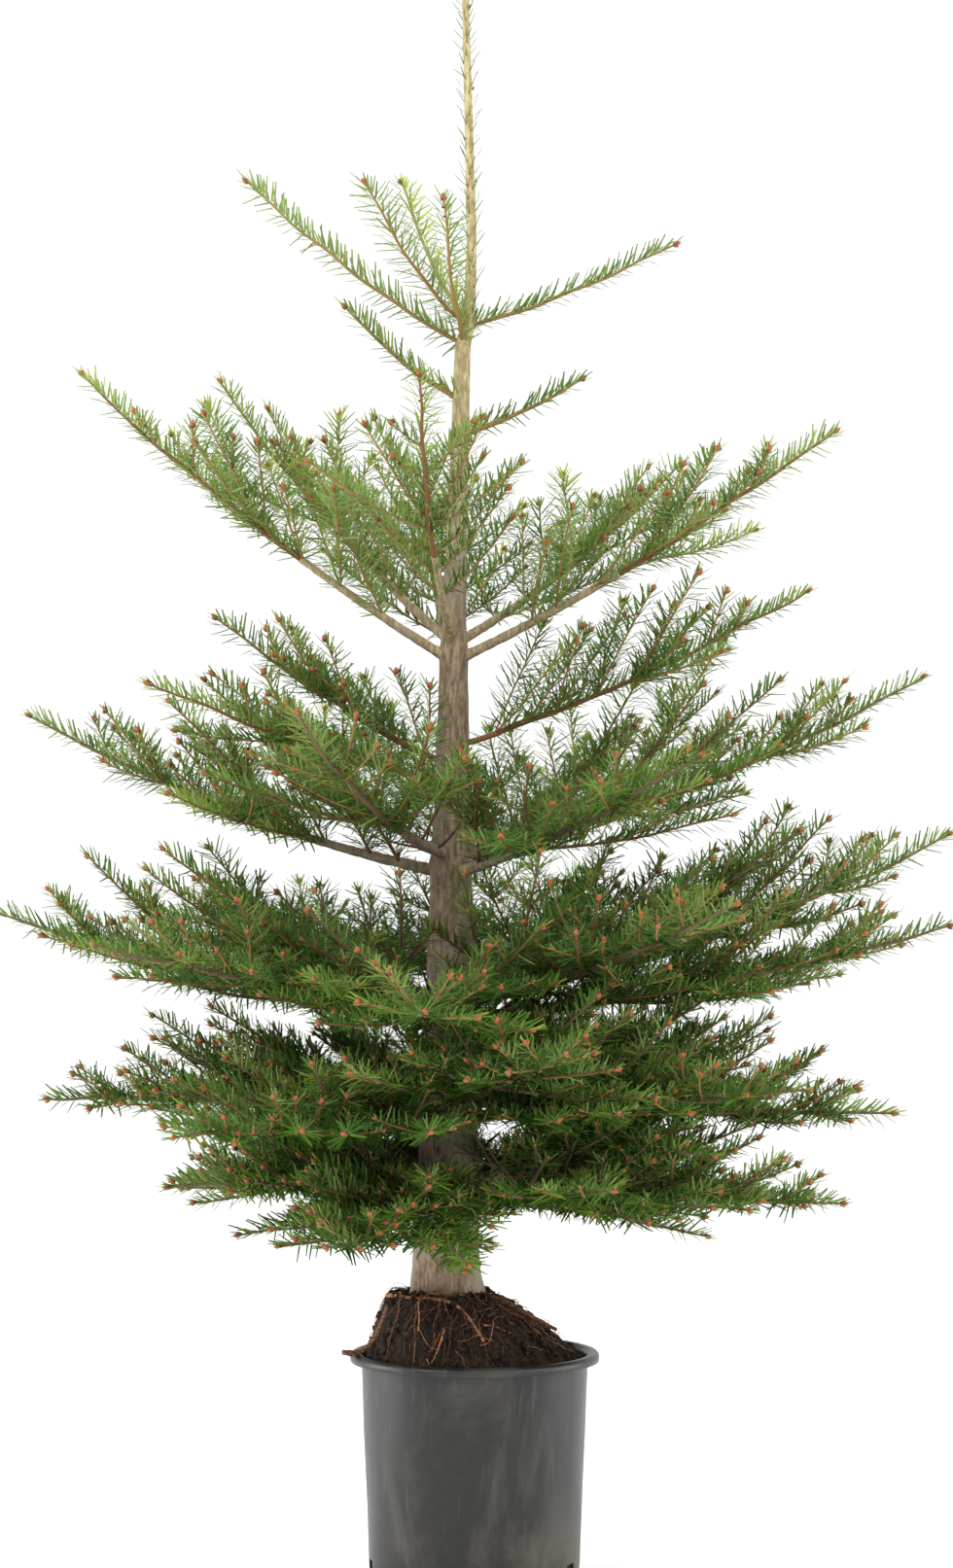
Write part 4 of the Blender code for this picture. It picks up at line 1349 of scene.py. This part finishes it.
def make_fine_roots(*finishes):
    """Thin roots and hair-fine ones, all over the mound."""
    rng = random.Random("fine roots")
    inner = pot_radius(SOIL_EDGE) - POT_WALL
    heap = Heap()
    for number in range(FINE_ROOTS):
        route = stray_root(rng, inner)
        if len(route) < 4:
            continue
        points = smooth_route(route, len(route) * 4)
        radius = rng.uniform(*(COARSE_RADIUS if number < COARSE_ROOTS else FINE_RADIUS))
        skin, faces = tube(points, radius * np.linspace(1, FINE_TAPER, len(points)), 5)
        heap.add(skin, faces, rng.choice((0, 1, 2, 2)))
    hand_in(heap.piece("fine_roots", finishes, smooth=True), "roots")


def make_setting():
    """Floor, world, lights and camera."""
    shape = bmesh.new()
    drop = Matrix.Translation(-UP * FLOOR_DROP)
    bmesh.ops.create_circle(shape, cap_ends=True, segments=FLOOR_SIDES, radius=FLOOR_RADIUS, matrix=drop)
    piece_of("floor", shape, plain("floor_white", FLOOR_WHITE, 0.9, 0.0))

    world = bpy.data.worlds.new("studio")
    bpy.context.scene.world = world
    world.use_nodes = True
    background = world.node_tree.nodes["Background"]
    background.inputs["Color"].default_value = (1, 1, 1, 1)
    background.inputs["Strength"].default_value = WORLD_LIGHT

    for name, (place, size, watts) in LIGHTS.items():
        light = bpy.data.lights.new(name, "AREA")
        light.size = size
        light.energy = watts
        lamp = in_scene(name, light)
        lamp.location = place
        lamp.rotation_euler = (LIT_POINT - lamp.location).to_track_quat("-Z", "Y").to_euler()

    camera = bpy.data.cameras.new("camera")
    camera.sensor_width = SENSOR
    camera.lens = SENSOR * -CAMERA.y / VIEW_HEIGHT
    made = in_scene("camera", camera)
    made.location = CAMERA
    made.rotation_euler = (pi / 2, 0, 0)
    bpy.context.scene.camera = made
    bpy.context.scene.view_settings.view_transform = "Standard"


def main():
    boughs = all_boughs()
    needle_paints = needle_finishes()
    bud_paints = bud_finishes()
    make_foliage(boughs, needle_paints, twig_finishes(), bud_paints)
    make_leader_needles(needle_paints)
    make_leader_buds(bud_paints)
    make_trunk(bark_finish("trunk_bark", 0.95, 1.42))
    make_limbs(boughs, bark_finish("limb_bark", 0.6, 1.5))
    make_pot(plastic_finish())
    soil = soil_finish()
    make_soil(soil)
    make_crumbs(soil)
    brown = root_finish("root_brown", colour(70, 46, 34), colour(132, 92, 66))
    orange = root_finish("root_orange", colour(126, 74, 48), colour(206, 146, 108))
    make_roots(brown, orange)
    make_fine_roots(brown, orange, root_finish("root_dark", colour(44, 32, 25), colour(92, 70, 54)))
    make_setting()


main()
